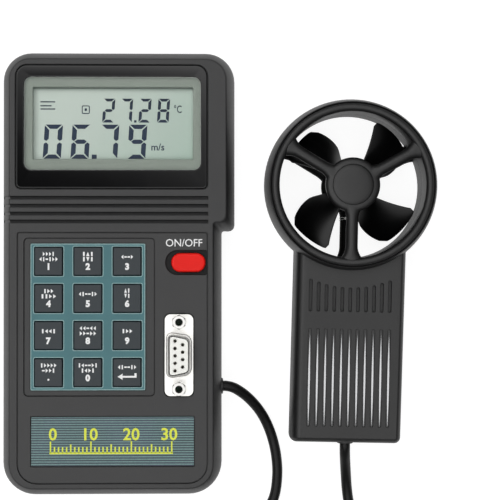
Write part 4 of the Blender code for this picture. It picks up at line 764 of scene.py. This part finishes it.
bars = []
for figure, right_edge in zip("0679", (-20.86, -10.42, 0.36, 10.94)):
    bars += digit(figure, right_edge, 43.34, 7.71, 12.93, 1.8, 1.62)
for figure, right_edge in zip("2728", (-1.16, 5.57, 12.53, 19.52)):
    bars += digit(figure, right_edge, 57.07, 5.03, 9.04, 1.14, 1.08)
bars.append(lettered("m/s", 2.5, 14.86, 46.6, 22.04, 4.9, 0.014))
bars.append(lettered("°C", 2.7, 22.4, 60.8, 22.04, 2.9, 0.012))
bars.append(band(box(-13.85, 60.3, -10.8, 63.5), 0.5, 0.36, *SEGMENT))
for small in (
    (-10.08, 43.34, -8.2, 44.95), (5.9, 57.07, 6.8, 57.97), (-12.75, 61.4, -11.9, 62.4),
    (-29.4, 64.6, -23.8, 65.05), (-29.4, 63.1, -25.2, 63.55), (-29.4, 61.9, -23.8, 62.35),
):
    bars.append(slab(box(*small), 0.1, *SEGMENT))
segment, wire, feed = finish("lit segment", (0.012, 0.02, 0.045), 0.4, shine=0.2)
spot = wire.spot()
shade = (spot.out("Y") * 40 - 2.2 + 0.6 * (noise(wire, 120, 3) - 0.5)).rise(0, 0.8)
feed("Base Color", shade.mix((0.012, 0.026, 0.062), (0.01, 0.017, 0.028)))
feed("Roughness", 0.3 + 0.12 * noise(wire, 2500, 2))
piece("lcd_segments", joined(bars), METER, segment)

# Keypad. A teal plate with twelve windows lies in a recess of the face. Thin pale bands
# round each window and round the plate are a painted highlight where light catches their
# chamfered edges. The keys stand on a rubber mat under the plate and pass through it.

KEY_SIZE, KEY_PITCH, KEY_FIRST = (10.45, 10.5), (14.7, 13.9), (-25.925, 4.65)
KEY_ORDER = ("1", "2", "3", "4", "5", "6", "7", "8", "9", "point", "0", "enter")
KEY_PLACES = {
    f"key_{end}": (KEY_FIRST[0] + k % 3 * KEY_PITCH[0], KEY_FIRST[1] - k // 3 * KEY_PITCH[1])
    for k, end in enumerate(KEY_ORDER)
}
teal, wire, feed = finish("teal print", (0.04, 0.13, 0.145), 0.4)
fine, cloud = noise(wire, 3600, 3, 0.6), noise(wire, 70, 4)
tone = 0.6 * fine + 0.9 * cloud - 0.25
feed("Base Color", tone.mix((0.02, 0.105, 0.12), (0.042, 0.162, 0.18)))
feed("Roughness", 0.32 + 0.2 * fine)
feed("Normal", wire.bump(0.5, 0.012, fine))
plate_form = slab(box(*plate_box), 0.5, 25.3, 26.2, 4)
windows = [
    well(around(x, y, *KEY_SIZE, 0.3), 0.6, 24, 26.2, 0.06, 4) for x, y in KEY_PLACES.values()
]
plate_form = carved(plate_form, windows)
piece("keypad_print", plate_form, METER, teal, "keypad_plate")


def printed(name, colour, roughness, scale, spread, dark, light, uneven=0.16):
    """A screen print whose tone runs unevenly from dark to light."""
    look, wire, feed = finish(name, colour, roughness + 0.07)
    fine = noise(wire, scale, 4, 0.7)
    feed("Base Color", fine.rise(*spread).mix(dark, light))
    feed("Roughness", roughness + uneven * fine)
    return look


# Pale bands round each window and the plate's edge: a painted highlight where light catches the
# chamfered edges.
WINDOW_HIGHLIGHT_LEVELS = (26.19, 26.22)
window_highlight_look = printed(
    "window edge painted highlight", (0.34, 0.47, 0.46), 0.38, 2400, (0.3, 0.75), (0.2, 0.34, 0.335),
    (0.36, 0.48, 0.47),
)
window_highlight_bands = [
    band(around(x, y, *KEY_SIZE, 0.56), 0.7, 0.2, *WINDOW_HIGHLIGHT_LEVELS, 4) for x, y in KEY_PLACES.values()
]
window_highlight_bands.append(band(box(*plate_box, -0.05), 0.4, 0.24, *WINDOW_HIGHLIGHT_LEVELS, 4))
piece("keypad_lines", joined(window_highlight_bands), METER, window_highlight_look)
skinned(moulded("silicone mat", (0.03, 0.031, 0.033), 0.6, 1400, 0.02), "keypad_mat")

# Keys. Twelve satin grey caps with softly rounded edges, each with a flange under the
# plate and a stem. A bold white number and small plain marks are printed on each.

key_look = moulded("key plastic", (0.0095, 0.0165, 0.0215), 0.46, 3000, 0.02, 0.14, 0.44)
ink = printed(
    "white ink", (0.8, 0.8, 0.8), 0.42, 3000, (0.25, 0.7), (0.66, 0.67, 0.67), (0.86, 0.86, 0.86)
)
CAP_EDGE = [(0, 26.52), (0.03, 26.68), (0.12, 26.81), (0.25, 26.88), (0.4, 26.9)]
KEY_PRINT = (26.89, 26.92)
# The small marks over the number: rows of (marks, height over the key's middle, width).
KEY_MARKS = {
    "key_1": ((">>>|", 1.95, 4.4), ("<|-|>>", 0, 6.9)),
    "key_2": (("|^|", 1.95, 4.2), ("|v|", 0, 4.2)),
    "key_3": (("<-->", 0.85, 4.5),),
    "key_4": (("|>>", 1.95, 3.6), ("||>>", 0, 5.7)),
    "key_5": (("<|--|>", 0.85, 6.7),),
    "key_6": (("^|", 2.15, 2.1), ("v|", 0.15, 2.1)),
    "key_7": (("|<<|", 0.85, 5.4),),
    "key_8": (("<<-<<", 1.95, 6.2), (">>->>", 0, 6.2)),
    "key_9": (("|>>", 0.85, 3.9),),
    "key_point": (("|>>>>", 1.95, 6), ("->>|", 0, 4.8)),
    "key_0": (("|<-->|", 1.95, 7.2), ("|<>|", 0, 5)),
    "key_enter": (("<|--|>", 1.25, 6.9),),
}
MARKS = {
    "|": box(-0.26, -0.5, 0.26, 0.5),
    "-": box(-0.5, -0.17, 0.5, 0.17),
    ">": ((-0.4, -0.5), (0.5, 0), (-0.4, 0.5)),
    "<": ((0.4, 0.5), (-0.5, 0), (0.4, -0.5)),
    "^": ((-0.5, -0.5), (0.5, -0.5), (0, 0.5)),
    "v": ((0.5, 0.5), (-0.5, 0.5), (0, -0.5)),
}
ARROW = ((-3.6, 0), (-1.7, 1.15), (-1.7, 0.35), (2.75, 0.35), (2.75, 1.35), (3.55, 1.35),
         (3.55, -0.35), (-1.7, -0.35), (-1.7, -1.15))


def mark_row(marks, x, y, width, tall=1.6, gap=0.26):
    """A row of small printed marks centred on x, from y up."""
    pitch = (width + gap) / len(marks)
    row = []
    for k, mark in enumerate(marks):
        middle = x - pitch * (len(marks) - 1) / 2 + k * pitch
        corners = [(middle + u * (pitch - gap), y + (0.5 + v) * tall) for u, v in MARKS[mark]]
        row.append(slab(corners, 0, *KEY_PRINT))
    return row


for name, (x, y) in KEY_PLACES.items():
    cap = solid(around(x, y, *KEY_SIZE, -0.02), 0.5, 23.7, CAP_EDGE, steps=5)
    flange = slab(around(x, y, *KEY_SIZE, 0.75), 0.8, 22.75, 23.75, 4)
    stem = rod(2.5, (x, y, 20.45), (x, y, 22.8))
    form = carved(cap, [flange, stem], "UNION")
    piece(f"cap_{name}", form, METER, key_look, name, body=name)
    if name == "key_point":
        marks = [slab(around(x, y - 2.6, 0.75, 0.75), 0.37, *KEY_PRINT, 4)]
    elif name == "key_enter":
        marks = [slab([(x + u, y - 1.55 + v) for u, v in ARROW], 0, *KEY_PRINT)]
    else:
        marks = [lettered(name[-1], 2.2, x, y - 3.05, 26.905, bold=0.055, thick=0.03)]
    for row, up, width in KEY_MARKS[name]:
        marks += mark_row(row, x, y + up, width)
    piece(f"legend_{name}", joined(marks), METER, ink, body=name)

# Power button. A smooth bright red button in a shallow dish of the face, which is round
# on its left. Plain white print over it says ON/OFF.

red, wire, feed = finish("red plastic", (0.7, 0.01, 0.006), 0.34, shine=0.16)
fine, cloud = noise(wire, 1500, 3), noise(wire, 110, 3)
tone = cloud + 0.3 * fine - 0.15
feed("Base Color", tone.mix((0.66, 0.007, 0.004), (0.82, 0.012, 0.007)))
feed("Roughness", 0.28 + 0.14 * fine)
BUTTON = (*POWER, 12.7, 7)
button_edge = [(0, 26.7), (0.1, 27.02), (0.32, 27.24), (0.65, 27.36), (1.1, 27.4)]
button = solid(around(*BUTTON), 3.3, 23.8, button_edge)
flange = slab(around(*BUTTON, 0.75), 3.9, 22.9, 23.9, 8)
button = carved(button, [flange], "UNION")
piece("power_cap", button, METER, red, "power_button", 40, "power")
# A near-black sheet over the recess floor round the button: painted shade in the recess.
recess_shade_look = moulded("button recess painted shade", (0.004, 0.004, 0.004), 0.6, 1800, 0.02, shine=0.22)
recess_shade_sheet = slab(box(17.75, -0.5, 33.55, 8.9), (4.6, 0.8, 0.8, 4.6), 25.1, 25.3, 8)
recess_shade_sheet = carved(recess_shade_sheet, [slab(around(*BUTTON, 0.32), 3.8, 24, 27, 8)])
piece("power_recess_shade", recess_shade_sheet, METER, recess_shade_look)
skinned(moulded("switch body", (0.02, 0.02, 0.021), 0.4, 2000, 0.01), "power_switch", "buzzer")
words = lettered("ON/OFF", 2.72, 24.8, 10.26, 26.21, 13.7, 0.004, 0.03)
piece("power_print", words, METER, ink)

# Serial socket. A plated flange and a D-shaped shell round a pale insulator with nine
# contacts in two rows, and a hexagonal jack nut at each end.

plated = metal("tin plate", (0.86, 0.85, 0.82), 0.36)
x, y = SOCKET
NUTS = ((x, y + 12.5), (x, y - 12.5))


def shell_corners(grow):
    """The D of the shell, 8.6 mm wide with sides of 16.6 and 13.8 mm."""
    wide, left_half, right_half = 4.3 + grow, 8.3 + grow, 6.9 + grow
    return ((x - wide, y - left_half), (x + wide, y - right_half),
            (x + wide, y + right_half), (x - wide, y + left_half))


flange_edge = [(0, 25.8), (0.03, 25.86), (0.1, 25.9)]
flange = solid(around(x, y, 10.8, 30.8), 2.2, 25.1, flange_edge)
skirt = solid(shell_corners(0.55), 2.6, 25.5, [(0, 25.95), (0.2, 26.2), (0.5, 26.4)])
wall = solid(shell_corners(0), 2.2, 25.4, [(0, 31.58), (0.04, 31.66), (0.12, 31.7)])
form = carved(flange, [skirt], "UNION")
cutters = [slab(shell_corners(-0.5), 1.7, 24, 28)]
cutters += [rod(1.9, (*place, 20), (*place, 28)) for place in NUTS]
form = carved(form, cutters)
piece("serial_flange", form, METER, plated, None, 35)
wall = carved(wall, [well(shell_corners(-0.5), 1.7, 24, 31.7, 0.08)])
# The wall is a polished copy of the plating, much darker than the flange: painted shade for the
# dark outline round the D.
polished_shaded_plate = metal("polished plate painted shade", (0.4, 0.395, 0.38), 0.16, 0.05)
piece("serial_wall", wall, METER, polished_shaded_plate, "serial_shell", 35)

pale_plastic = moulded("socket insulator", (0.84, 0.84, 0.8), 0.42, 1800, 0.012, 0.03)
CONTACTS = [(x - 1.42, y + 2.77 * k) for k in range(-2, 3)]
CONTACTS += [(x + 1.42, y + 2.77 * (k - 1.5)) for k in range(4)]
inner_edge = [(0, 31.2), (0.06, 31.34), (0.2, 31.4)]
block = solid(shell_corners(-0.85), 1.4, 25, inner_edge, steps=6)
body = slab(around(x, y, 10, 19.4), 0.6, 18.4, 25, 3)
form = carved(block, [body], "UNION")


def standing(profile, place, sides, closed=False):
    """A round form on an upright axis at a place."""
    return moved(turned(profile, sides, closed), Matrix.Translation((*place, 0)))


hole = [(0, 26), (0.6, 26), (0.6, 31.1), (0.95, 31.45), (0, 31.45)]
form = carved(form, [standing(hole, place, 20) for place in CONTACTS])
piece("serial_face", form, METER, pale_plastic, "serial_insulator", 35)
# The sleeves are a near-black brown so the contact holes read dark: painted shade in the holes.
dark_contact_look = metal("contact painted dark", (0.05, 0.035, 0.02), 0.4)
ring = [(0.3, 26.2), (0.58, 26.2), (0.58, 31.05), (0.48, 31.1), (0.4, 30.9), (0.3, 28)]
sleeves = joined([standing(ring, place, 16, True) for place in CONTACTS])
piece("serial_contacts", sleeves, METER, dark_contact_look, None, 40)
nut_steel = metal("jack nut plate", (0.72, 0.71, 0.69), 0.3)
facing = [(0, 25.9), (2.85, 25.9), (2.85, 30.7), (2.35, 31), (0, 31)]
bore = [(0, 24), (1.3, 24), (1.3, 30.8), (1.55, 31.1), (0, 31.1)]
for number, place in enumerate(NUTS, 1):
    nut = bmesh.new()
    across = 2.4 / math.cos(math.pi / 6)
    bmesh.ops.create_cone(
        nut, cap_ends=True, segments=6, radius1=across, radius2=across, depth=5.1,
        matrix=Matrix.Translation((*place, 28.45)),
    )
    nut = carved(nut, [standing(facing, place, 32)], "INTERSECT")
    nut = carved(nut, [rod(1.7, (*place, 24.8), (*place, 27))], "UNION")
    nut = carved(nut, [standing(bore, place, 24)])
    piece(f"nut_{number}", nut, METER, nut_steel, f"jack_nut_{number}", 25)

# Nameplate. A thin printed plate glued in a recess at the lower end. Fine teal stripes
# run across it, with a plain yellow-green scale in the middle.

STRIPE_PITCH = 0.936
striped, wire, feed = finish("striped print", (0.14, 0.22, 0.22), 0.4)
spot = wire.spot()
phase = (spot.out("Y") - label_box[3] * MM) * (math.tau / STRIPE_PITCH / MM)
stripe = wire.math("SINE", phase + 1.2).rise(-0.55, 0.35)
fine, cloud = noise(wire, 3000, 3, 0.6), noise(wire, 90, 3)
dark = cloud.rise(0.35, 0.65).mix((0.006, 0.02, 0.03), (0.014, 0.022, 0.05))
light = fine.rise(0.3, 0.7).mix((0.08, 0.17, 0.17), (0.14, 0.24, 0.235))
feed("Base Color", stripe.mix(dark.out(2), light.out(2)))
feed("Roughness", 0.34 + 0.16 * fine)
feed("Normal", wire.bump(0.5, 0.02, stripe * 0.5 + 0.2 * fine))
name_form = solid(box(*label_box), 0.4, 25.8, [(0, 26.14), (0.04, 26.18), (0.1, 26.2)], steps=3)
piece("scale_plate", name_form, METER, striped, "nameplate")
lime = printed(
    "lime print", (0.66, 0.7, 0.035), 0.4, 2600, (0.25, 0.75), (0.56, 0.64, 0.03),
    (0.74, 0.76, 0.05), 0.15,
)
SCALE_PRINT, SCALE_START, SCALE_STEP = (26.19, 26.24), -25.2, 1.513
scale_forms = [slab(box(-25.6, -67.6, 20.6, -66.9), 0, *SCALE_PRINT)]
for mark in range(31):
    u = SCALE_START + SCALE_STEP * mark
    tall = 4.4 if mark % 10 == 0 else 3.3 if mark % 5 == 0 else 2.3
    scale_forms.append(slab(box(u - 0.27, -67.2, u + 0.27, -67.2 + tall), 0, *SCALE_PRINT))
for number, shift in zip(range(0, 31, 10), (0.9, 0, 0, -0.9)):
    u = SCALE_START + SCALE_STEP * number + shift
    scale_forms.append(lettered(str(number), 4.3, u, -62.3, 26.215, bold=0.02, thick=0.05))
piece("scale_print", joined(scale_forms), METER, lime)

# Grommets. A soft rubber sleeve with a lip holds the cable where it enters the meter,
# and another where it enters the handle.

hub_low, hub_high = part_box("hub_cap")
hub_centre = (hub_low + hub_high) / 2
hub_centre.z = 0
PROBE = Matrix.Translation(hub_centre) @ Matrix.Rotation(math.radians(-1.2), 4, "Z")
rubber_black = moulded("soft rubber", (0.015, 0.015, 0.015), 0.5, 1300, 0.02)
sleeve = [(2.05, -4.5), (3.05, -4.5), (3.05, -2.2), (4, -2.1), (4, -1), (3.05, -0.9), (3.05, 0.2)]
sleeve += [(2.95, 0.42), (2.6, 0.55), (2.2, 0.58), (2.05, 0.5)]
for name, middle, tip, whole in (
    ("meter_grommet", (39.1, -43, 13), "Y", METER),
    ("probe_grommet", (0, -97.9, 14.6), "X", PROBE),
):
    lay = Matrix.Translation(middle) @ Matrix.Rotation(math.pi / 2, 4, tip)
    form = moved(turned(sleeve, 28, True), lay)
    piece(f"sleeve_{name}", form, whole, rubber_black, name, 45)

# Inside the meter. A green circuit board with a processor, a buzzer and the power
# switch, the display's striped rubber contact strip, and a 9 V battery with its snap.

solder, wire, feed = finish("solder mask", (0.02, 0.12, 0.05), 0.35)
spot = wire.spot()
tracks = wire.math("SINE", spot.out("X") * 2400 + 9 * noise(wire, 90, 1)).rise(0.35, 0.55)
copper = noise(wire, 260, 1).rise(0.45, 0.5) * tracks
feed("Base Color", copper.mix((0.014, 0.095, 0.04), (0.035, 0.19, 0.08)))
feed("Roughness", 0.3 + 0.12 * noise(wire, 1200, 3))
feed("Normal", wire.bump(0.6, 0.03, copper))
skinned(solder, "main_board", "probe_board")
skinned(moulded("chip resin", (0.016, 0.016, 0.017), 0.5, 2200, 0.01), "processor")
zebra, wire, feed = finish("contact rubber", (0.2, 0.16, 0.16), 0.6)
spot = wire.spot()
layer = wire.math("SINE", spot.out("X") * 12000).rise(-0.3, 0.3)
feed("Base Color", layer.mix((0.42, 0.3, 0.3), (0.02, 0.02, 0.02)))
feed("Roughness", 0.5 + 0.2 * noise(wire, 2000, 2))
skinned(zebra, "lcd_contact_strip")
skinned(metal("battery can", (0.3, 0.3, 0.32), 0.38), "battery")
snap = moulded("snap vinyl", (0.013, 0.013, 0.014), 0.42, 1500, 0.02)
skinned(snap, "battery_snap", "snap_lead_black")
skinned(moulded("red insulation", (0.45, 0.018, 0.016), 0.4, 1500, 0.01), "snap_lead_red")

# Front half of the probe. The same ABS. A ring whose rim is a half-round bead with a
# narrow groove outside it, three spokes that flare into the ring and hub, and a flat
# handle with two rows of slots; the lower row's floors carry a lens-shaped bright metallic
# strip, a painted highlight.

probe_look = moulded("probe abs", (0.003, 0.003, 0.0032), 0.48, 2600, 0.03, 0.12, 0.5)
SPOKES = (30, 150, 270)
HANDLE = ((-21.5, -97.9), (20.8, -97.9), (21.6, -20), (-21, -20))
HALVES = 14.6
PROBE_SCREWS = ((0, -44.5), (0, -86.9))


def ring_side(end, deep):
    """The ring's convex outer side, from where the halves meet towards one end."""
    sign = math.copysign(1, end - HALVES)
    side = [(27.6, HALVES + 0.15 * sign), (32.75, HALVES + 0.15 * sign)]
    side.append((32.98, HALVES + 0.32 * sign))
    for k in range(9):
        height = HALVES + sign * (0.5 + deep * k / 8)
        side.append((33 - 1.8 * ((height - HALVES) / (end - HALVES)) ** 2, height))
    return side


def handle_levels(start, end):
    """The levels of the handle's side, which leans in more and more up to its face."""
    side = ((0.04, 0.2), (0.14, 0.42), (0.35, 0.64), (0.6, 0.76), (0.95, 0.855), (1.35, 0.92),
            (1.85, 0.968), (2.4, 1))
    return [(inset, start + (end - start) * part) for inset, part in side]


def spoke(angle, height, flare=2.2, reach=2.3):
    """A round bar that widens level into the hub and the ring."""
    start, end, half_height = 8.4, 29, 2.3
    profile = [(0, start)]
    for k in range(21):
        along = start + (end - start) * k / 20
        hubward, rimward = max(0, 1 - (along - 9.6) / 3), max(0, 1 - (28.2 - along) / 5)
        profile.append((reach + flare * max(0.4 * hubward**2, min(rimward, 1.2) ** 2), along))
    work = turned([*profile, (0, end)], 20)
    for vert in work.verts:
        wide = vert.co.xy.length
        if wide > half_height:
            vert.co.x *= half_height / wide
    lay = Matrix.Rotation(math.radians(angle), 4, "Z") @ Matrix.Translation((0, 0, height))
    return moved(work, lay @ Matrix.Rotation(math.pi / 2, 4, "Y"))


ring_section = [*ring_side(29.2, 13), (31.3, 28.42), (31.12, 28.52), (30.98, 28.42)]
ring_section.append((30.93, 28.15))
for k in range(1, 13):
    bend = math.pi * k / 12.5
    ring_section.append((29.27 + 1.63 * math.cos(bend), 27.55 + 1.65 * math.sin(bend)))
ring_section.append((27.6, 27.3))
ring = turned(ring_section, 96, True)
grip = solid(
    HANDLE, 2.6, HALVES + 0.35, handle_levels(HALVES, 24),
    [(0.06, HALVES + 0.22), (0.22, HALVES + 0.15)],
)
for inset, height in handle_levels(HALVES, 24):
    for vert in grip.verts:
        if vert.co.x < 0 and abs(vert.co.z - height) < 1e-4:
            vert.co.x += 0.54 * inset
bore = turned([(0, 0), (28.5, 0), (28.5, 40), (0, 40)], 96)
grip = carved(grip, [bore])
spider = [spoke(angle, 26.6) for angle in SPOKES]
hub_section = [(0, 24.2), (9.8, 24.2), (10.2, 24.5), (10.3, 25), (10.3, 27.1), (10.2, 27.65)]
hub_section += [(9.95, 28.1), (9.55, 28.45), (9.05, 28.68), (8.4, 28.84), (7.3, 28.97), (0, 28.97)]
hub = turned(hub_section, 64)
front_form = carved(ring, [grip], "UNION")
cap_well = [(0, 27.9), (7.7, 27.9), (7.7, 28.75), (7.83, 29.15), (0, 29.15)]
HANDLE_ROOM = box(-16.7, -93.9, 16.7, -38)
HANDLE_WAY = (3.4, (0, -103, HALVES), (0, -92, HALVES))
inner_ways = [
    turned([(0, 20), (3.3, 20), (3.3, 26.8), (0, 26.8)], 32),
    solid(HANDLE_ROOM, 2, 10, [(0, 19), (1.2, 22)]), rod(*HANDLE_WAY),
]
cutters = []
for x in range(-15, 16, 3):
    top = -math.sqrt(38.6**2 - x**2)
    for low, high, floor in ((-48.2, top, 22.4), (-91.6, -54.2, 23.2)):
        slot = box(x - 0.6, low + 0.1, x + 0.9, high - 0.1)
        cutters.append(well(slot, 0.7, floor, 24, 0.18, 5))
front_form = carved(front_form, cutters)
front_form = carved(front_form, [*spider, hub], "UNION")
front_form = carved(front_form, [turned(cap_well, 64)])
front_form = carved(front_form, inner_ways)
# The floors of the lower slots take the second material, which paints their highlight.
for face in front_form.faces:
    middle = face.calc_center_median()
    if 23 < middle.z < 23.3 and -91.7 < middle.y < -54.1 and face.normal.z > 0.5:
        face.material_index = 1
bosses = [rod(3, (*place, HALVES + 0.15), (*place, 22.5), 20) for place in PROBE_SCREWS]
front_form = carved(front_form, bosses, "UNION")
shafts = [rod(1.2, (*place, 10), (*place, 21.6), 16) for place in PROBE_SCREWS]
front_form = carved(front_form, shafts)
probe_front = piece(
    "ring_front", front_form, PROBE, probe_look, "probe_front", 30
)
# A lens-shaped bright metallic strip down each lower slot floor, widest at mid length: a painted
# highlight.
slot_glint_look, wire, feed = finish("slot floor painted highlight", (0.04, 0.04, 0.041), 0.26)
shift = PROBE.inverted()
along = wire.add("Mapping", {}, {
    "Vector": wire.add("TexCoord", output="Object"), "Location": shift.translation,
    "Rotation": shift.to_euler(),
})
spot = wire.add("SeparateXYZ", {}, {0: along})
down = (spot.out("Y") + 74 * MM) * (1 / 17.5 / MM)
aside = wire.math("PINGPONG", spot.out("X") - 0.2 * MM, 1.5 * MM) * (1 / MM)
glint_mask = (0.34 * (1 - down * down) - aside + 0.05).rise(0, 0.1)
feed("Metallic", glint_mask)
feed("Base Color", glint_mask.mix((0.006, 0.006, 0.0065), (0.46, 0.46, 0.47)))
feed("Roughness", 0.22 + 0.12 * noise(wire, 2600, 3))
probe_front.data.materials.append(slot_glint_look)

# Rear half of the probe. The same ring, handle and spider seen from behind, with a
# plain rounded rim and the deep bores of two screws. Its ABS is a darker, duller copy,
# and the spider and hub a still darker one: painted shade, since the rear lies in shadow.

ring_section = [*ring_side(0, 12.7), (31.3, 0.6), (31.1, 0.25), (30.8, 0.06), (30.3, 0)]
ring_section += [(28.5, 0), (28.05, 0.08), (27.73, 0.32), (27.6, 0.7)]
ring = turned(ring_section, 96, True)
grip = solid(
    HANDLE, 2.6, HALVES - 0.35, [(0.06, HALVES - 0.22), (0.22, HALVES - 0.15)],
    handle_levels(HALVES, 0),
)
bore = turned([(0, -10), (28.5, -10), (28.5, 30), (0, 30)], 96)
grip = carved(grip, [bore])
hub = turned([(radius, 29.2 - height) for radius, height in hub_section], 64)
rear_form = carved(ring, [grip], "UNION")
spider = [spoke(angle, 2.6, 1.4, 2.7) for angle in SPOKES]
rear_form = carved(rear_form, [*spider, hub], "UNION")
cutters = [
    turned([(0, 2.4), (3.3, 2.4), (3.3, 9), (0, 9)], 32),
    solid(HANDLE_ROOM, 2, 5, [(0, 20)], [(1.2, 2)]), rod(*HANDLE_WAY),
    rod(2, (6.5, 0, 1.4), (6.5, 0, 8)),
]
rear_form = carved(rear_form, cutters)
bosses = [rod(3, (*place, 1), (*place, HALVES - 0.15), 20) for place in PROBE_SCREWS]
bosses += [rod(2, (side * 6.5, -68, 1), (side * 6.5, -68, 11.7), 16) for side in (-1, 1)]
rear_form = carved(rear_form, bosses, "UNION")
shafts = [rod(1.2, (*place, -2), (*place, 18), 16) for place in PROBE_SCREWS]
shafts += [rod(2.2, (*place, -2), (*place, 2.6)) for place in PROBE_SCREWS]
rear_form = carved(rear_form, shafts)
shaded = moulded("probe abs rear painted shade", (0.002, 0.002, 0.0021), 0.5, 2600, 0.03, 0.12, 0.36)
# Faces inside the ring take the darkest copy: painted shade on the spider and hub.
for face in rear_form.faces:
    if face.calc_center_median().xy.length < 27.3:
        face.material_index = 1
probe_rear = piece("ring_rear", rear_form, PROBE, shaded, "probe_rear", 30)
unlit = moulded("probe abs rear spider painted shade", (0.0012, 0.0012, 0.0013), 0.6, 2600, 0.03, 0.12, 0.12)
probe_rear.data.materials.append(unlit)
screws("probe", PROBE_SCREWS, 1, 21.4, PROBE)

# Hub cap. A shallow dome of the same ABS pressed into the front hub.

dome = [(0, 28.2), (7.5, 28.2), (7.64, 28.3), (7.66, 28.52), (7.4, 28.66), (6.9, 28.84)]
dome += [(6.2, 29), (5.2, 29.15), (3.8, 29.27), (2, 29.34)]
cap_form = turned([*dome, (0, 29.36)], 64)
piece("hub_dome", cap_form, PROBE, probe_look, "hub_cap", 50)

# Vane wheel. Black polycarbonate in one moulding: a round hub and four thin pitched
# blades with round corners and thin edges. It turns on a steel axle with a magnet.

vane_black, wire, feed = finish("vane black", (0.001, 0.001, 0.001), 0.3, shine=0.25)
fine, cloud = noise(wire, 1200, 3), noise(wire, 80, 3)
feed("Roughness", 0.24 + 0.12 * cloud + 0.05 * fine)
feed("Base Color", cloud.mix((0.0008, 0.0008, 0.0008), (0.0015, 0.0015, 0.0017)))
wheel_hub = [(0.95, 8.1), (5.6, 8.1), (6, 8.5), (6, 19.7), (5.85, 20.3), (5.4, 20.8)]
wheel_hub = turned([*wheel_hub, (4.7, 21.05), (4.2, 21.1), (0.95, 21.1)], 40, True)
# Radii of the blades' roots and tips, angle of the first, and half height of their pitch.
BLADE_ROOT, BLADE_TIP, BLADE_START, BLADE_RISE = 4.5, 26, 52, 6
blades = []
for number in range(4):
    blade = bmesh.new()
    bmesh.ops.create_grid(blade, x_segments=14, y_segments=16, size=1)
    for vert in blade.verts:
        across = vert.co.y
        corner = max(0, (abs(across) - 0.8) / 0.2)
        tip = BLADE_TIP - 1.8 * (1 - math.sqrt(max(0, 1 - corner**2)))
        reach = BLADE_ROOT + (tip - BLADE_ROOT) * (vert.co.x + 1) / 2
        behind = 36 - 16 * max(0, (reach - 15) / 10) ** 1.3
        ahead = 12 + 0.43 * (reach - 10)
        turn = (ahead - behind) / 2 + (ahead + behind) / 2 * across
        angle = math.radians(BLADE_START + 90 * number) + math.radians(turn)
        vert.co = (reach * math.cos(angle), reach * math.sin(angle),
                   HALVES + BLADE_RISE * (across + 0.35 * (1 - across**2)))
    bmesh.ops.recalc_face_normals(blade, faces=blade.faces)
    bmesh.ops.solidify(blade, geom=list(blade.faces), thickness=0.9)
    rims = [edge for edge in blade.edges if edge.calc_face_angle(0) > 1]
    rounded(blade, rims, 0.3, 3, clamp_overlap=True)
    bmesh.ops.recalc_face_normals(blade, faces=blade.faces)
    blades.append(blade)
wheel_form = carved(wheel_hub, blades, "UNION")
wheel_form = carved(wheel_form, [rod(1.05, (0, 0, 5), (0, 0, 25))])
piece("vane", wheel_form, PROBE, vane_black, "vane_wheel", 35, "rotor")
axle_form = turned([(0, 3.2), (0.6, 3.2), (0.75, 3.35), (0.75, 25.85), (0.6, 26), (0, 26)], 20)
piece("axle_pin", axle_form, PROBE, steel, "axle", 40, "rotor")
ferrite = moulded("sintered magnet", (0.05, 0.05, 0.053), 0.45, 1700, 0.02)
skinned(ferrite, "rotor_magnet")

# Bearings, pickup and bead. Two plain turned brass bearings, a varnished copper pickup
# coil in the rear hub, and a small glossy white sensor bead on its two fine wires. The
# bead sits on the rear spoke's crest, and its white stands in for a glint there: partly
# the real bead, partly a painted highlight.

brass = metal("bearing brass", (0.6, 0.44, 0.17), 0.26)
for name, low in (("bearing_rear", 2.7), ("bearing_front", 24.2)):
    section = [(1.05, low + 0.15), (1.2, low), (2.8, low), (3, low + 0.2), (3, low + 2.1)]
    section += [(2.8, low + 2.3), (1.2, low + 2.3), (1.05, low + 2.15)]
    piece(f"turned_{name}", turned(section, 32, True), PROBE, brass, name, 40)
winding, wire, feed = finish("copper winding", (0.5, 0.22, 0.1), 0.35, 0.85)
spot = wire.spot()
turn_line = wire.math("SINE", spot.out("Z") * 40000).rise(-0.6, 0.6)
feed("Base Color", turn_line.mix((0.28, 0.1, 0.05), (0.55, 0.25, 0.11)))
feed("Normal", wire.bump(0.8, 0.03, turn_line))
skinned(winding, "pickup_coil")
# The bead's white is its own colour and also paints a glint on the rear spoke.
bead_glint_look, wire, feed = finish("white bead painted glint", (0.8, 0.8, 0.78), 0.2)
fine = noise(wire, 1500, 3)
feed("Roughness", 0.14 + 0.12 * fine)
feed("Base Color", fine.mix((0.74, 0.74, 0.71), (0.84, 0.84, 0.82)))
BEAD = Vector((-0.75, -12.1, 5))
bends = [math.pi * k / 10 for k in range(1, 10)]
bead_profile = [(0.5 * math.sin(bend), -0.6 * math.cos(bend)) for bend in bends]
lay = Matrix.Translation(BEAD) @ Matrix.Rotation(math.pi / 2, 4, "X")
bead_parts = [moved(turned([(0, -0.6), *bead_profile, (0, 0.6)], 24), lay)]
for side in (-1, 1):
    steps = [
        BEAD + Vector(step)
        for step in ((0, 0.3 * side, 0), (-1.45, 0.4 * side - 0.2, -0.7),
                     (-2.15, 0.4 * side - 0.5, -2.6))
    ]
    bead_parts += [rod(0.12, *ends, 8) for ends in zip(steps, steps[1:])]
piece("bead", joined(bead_parts), PROBE, bead_glint_look, "thermistor", 60)
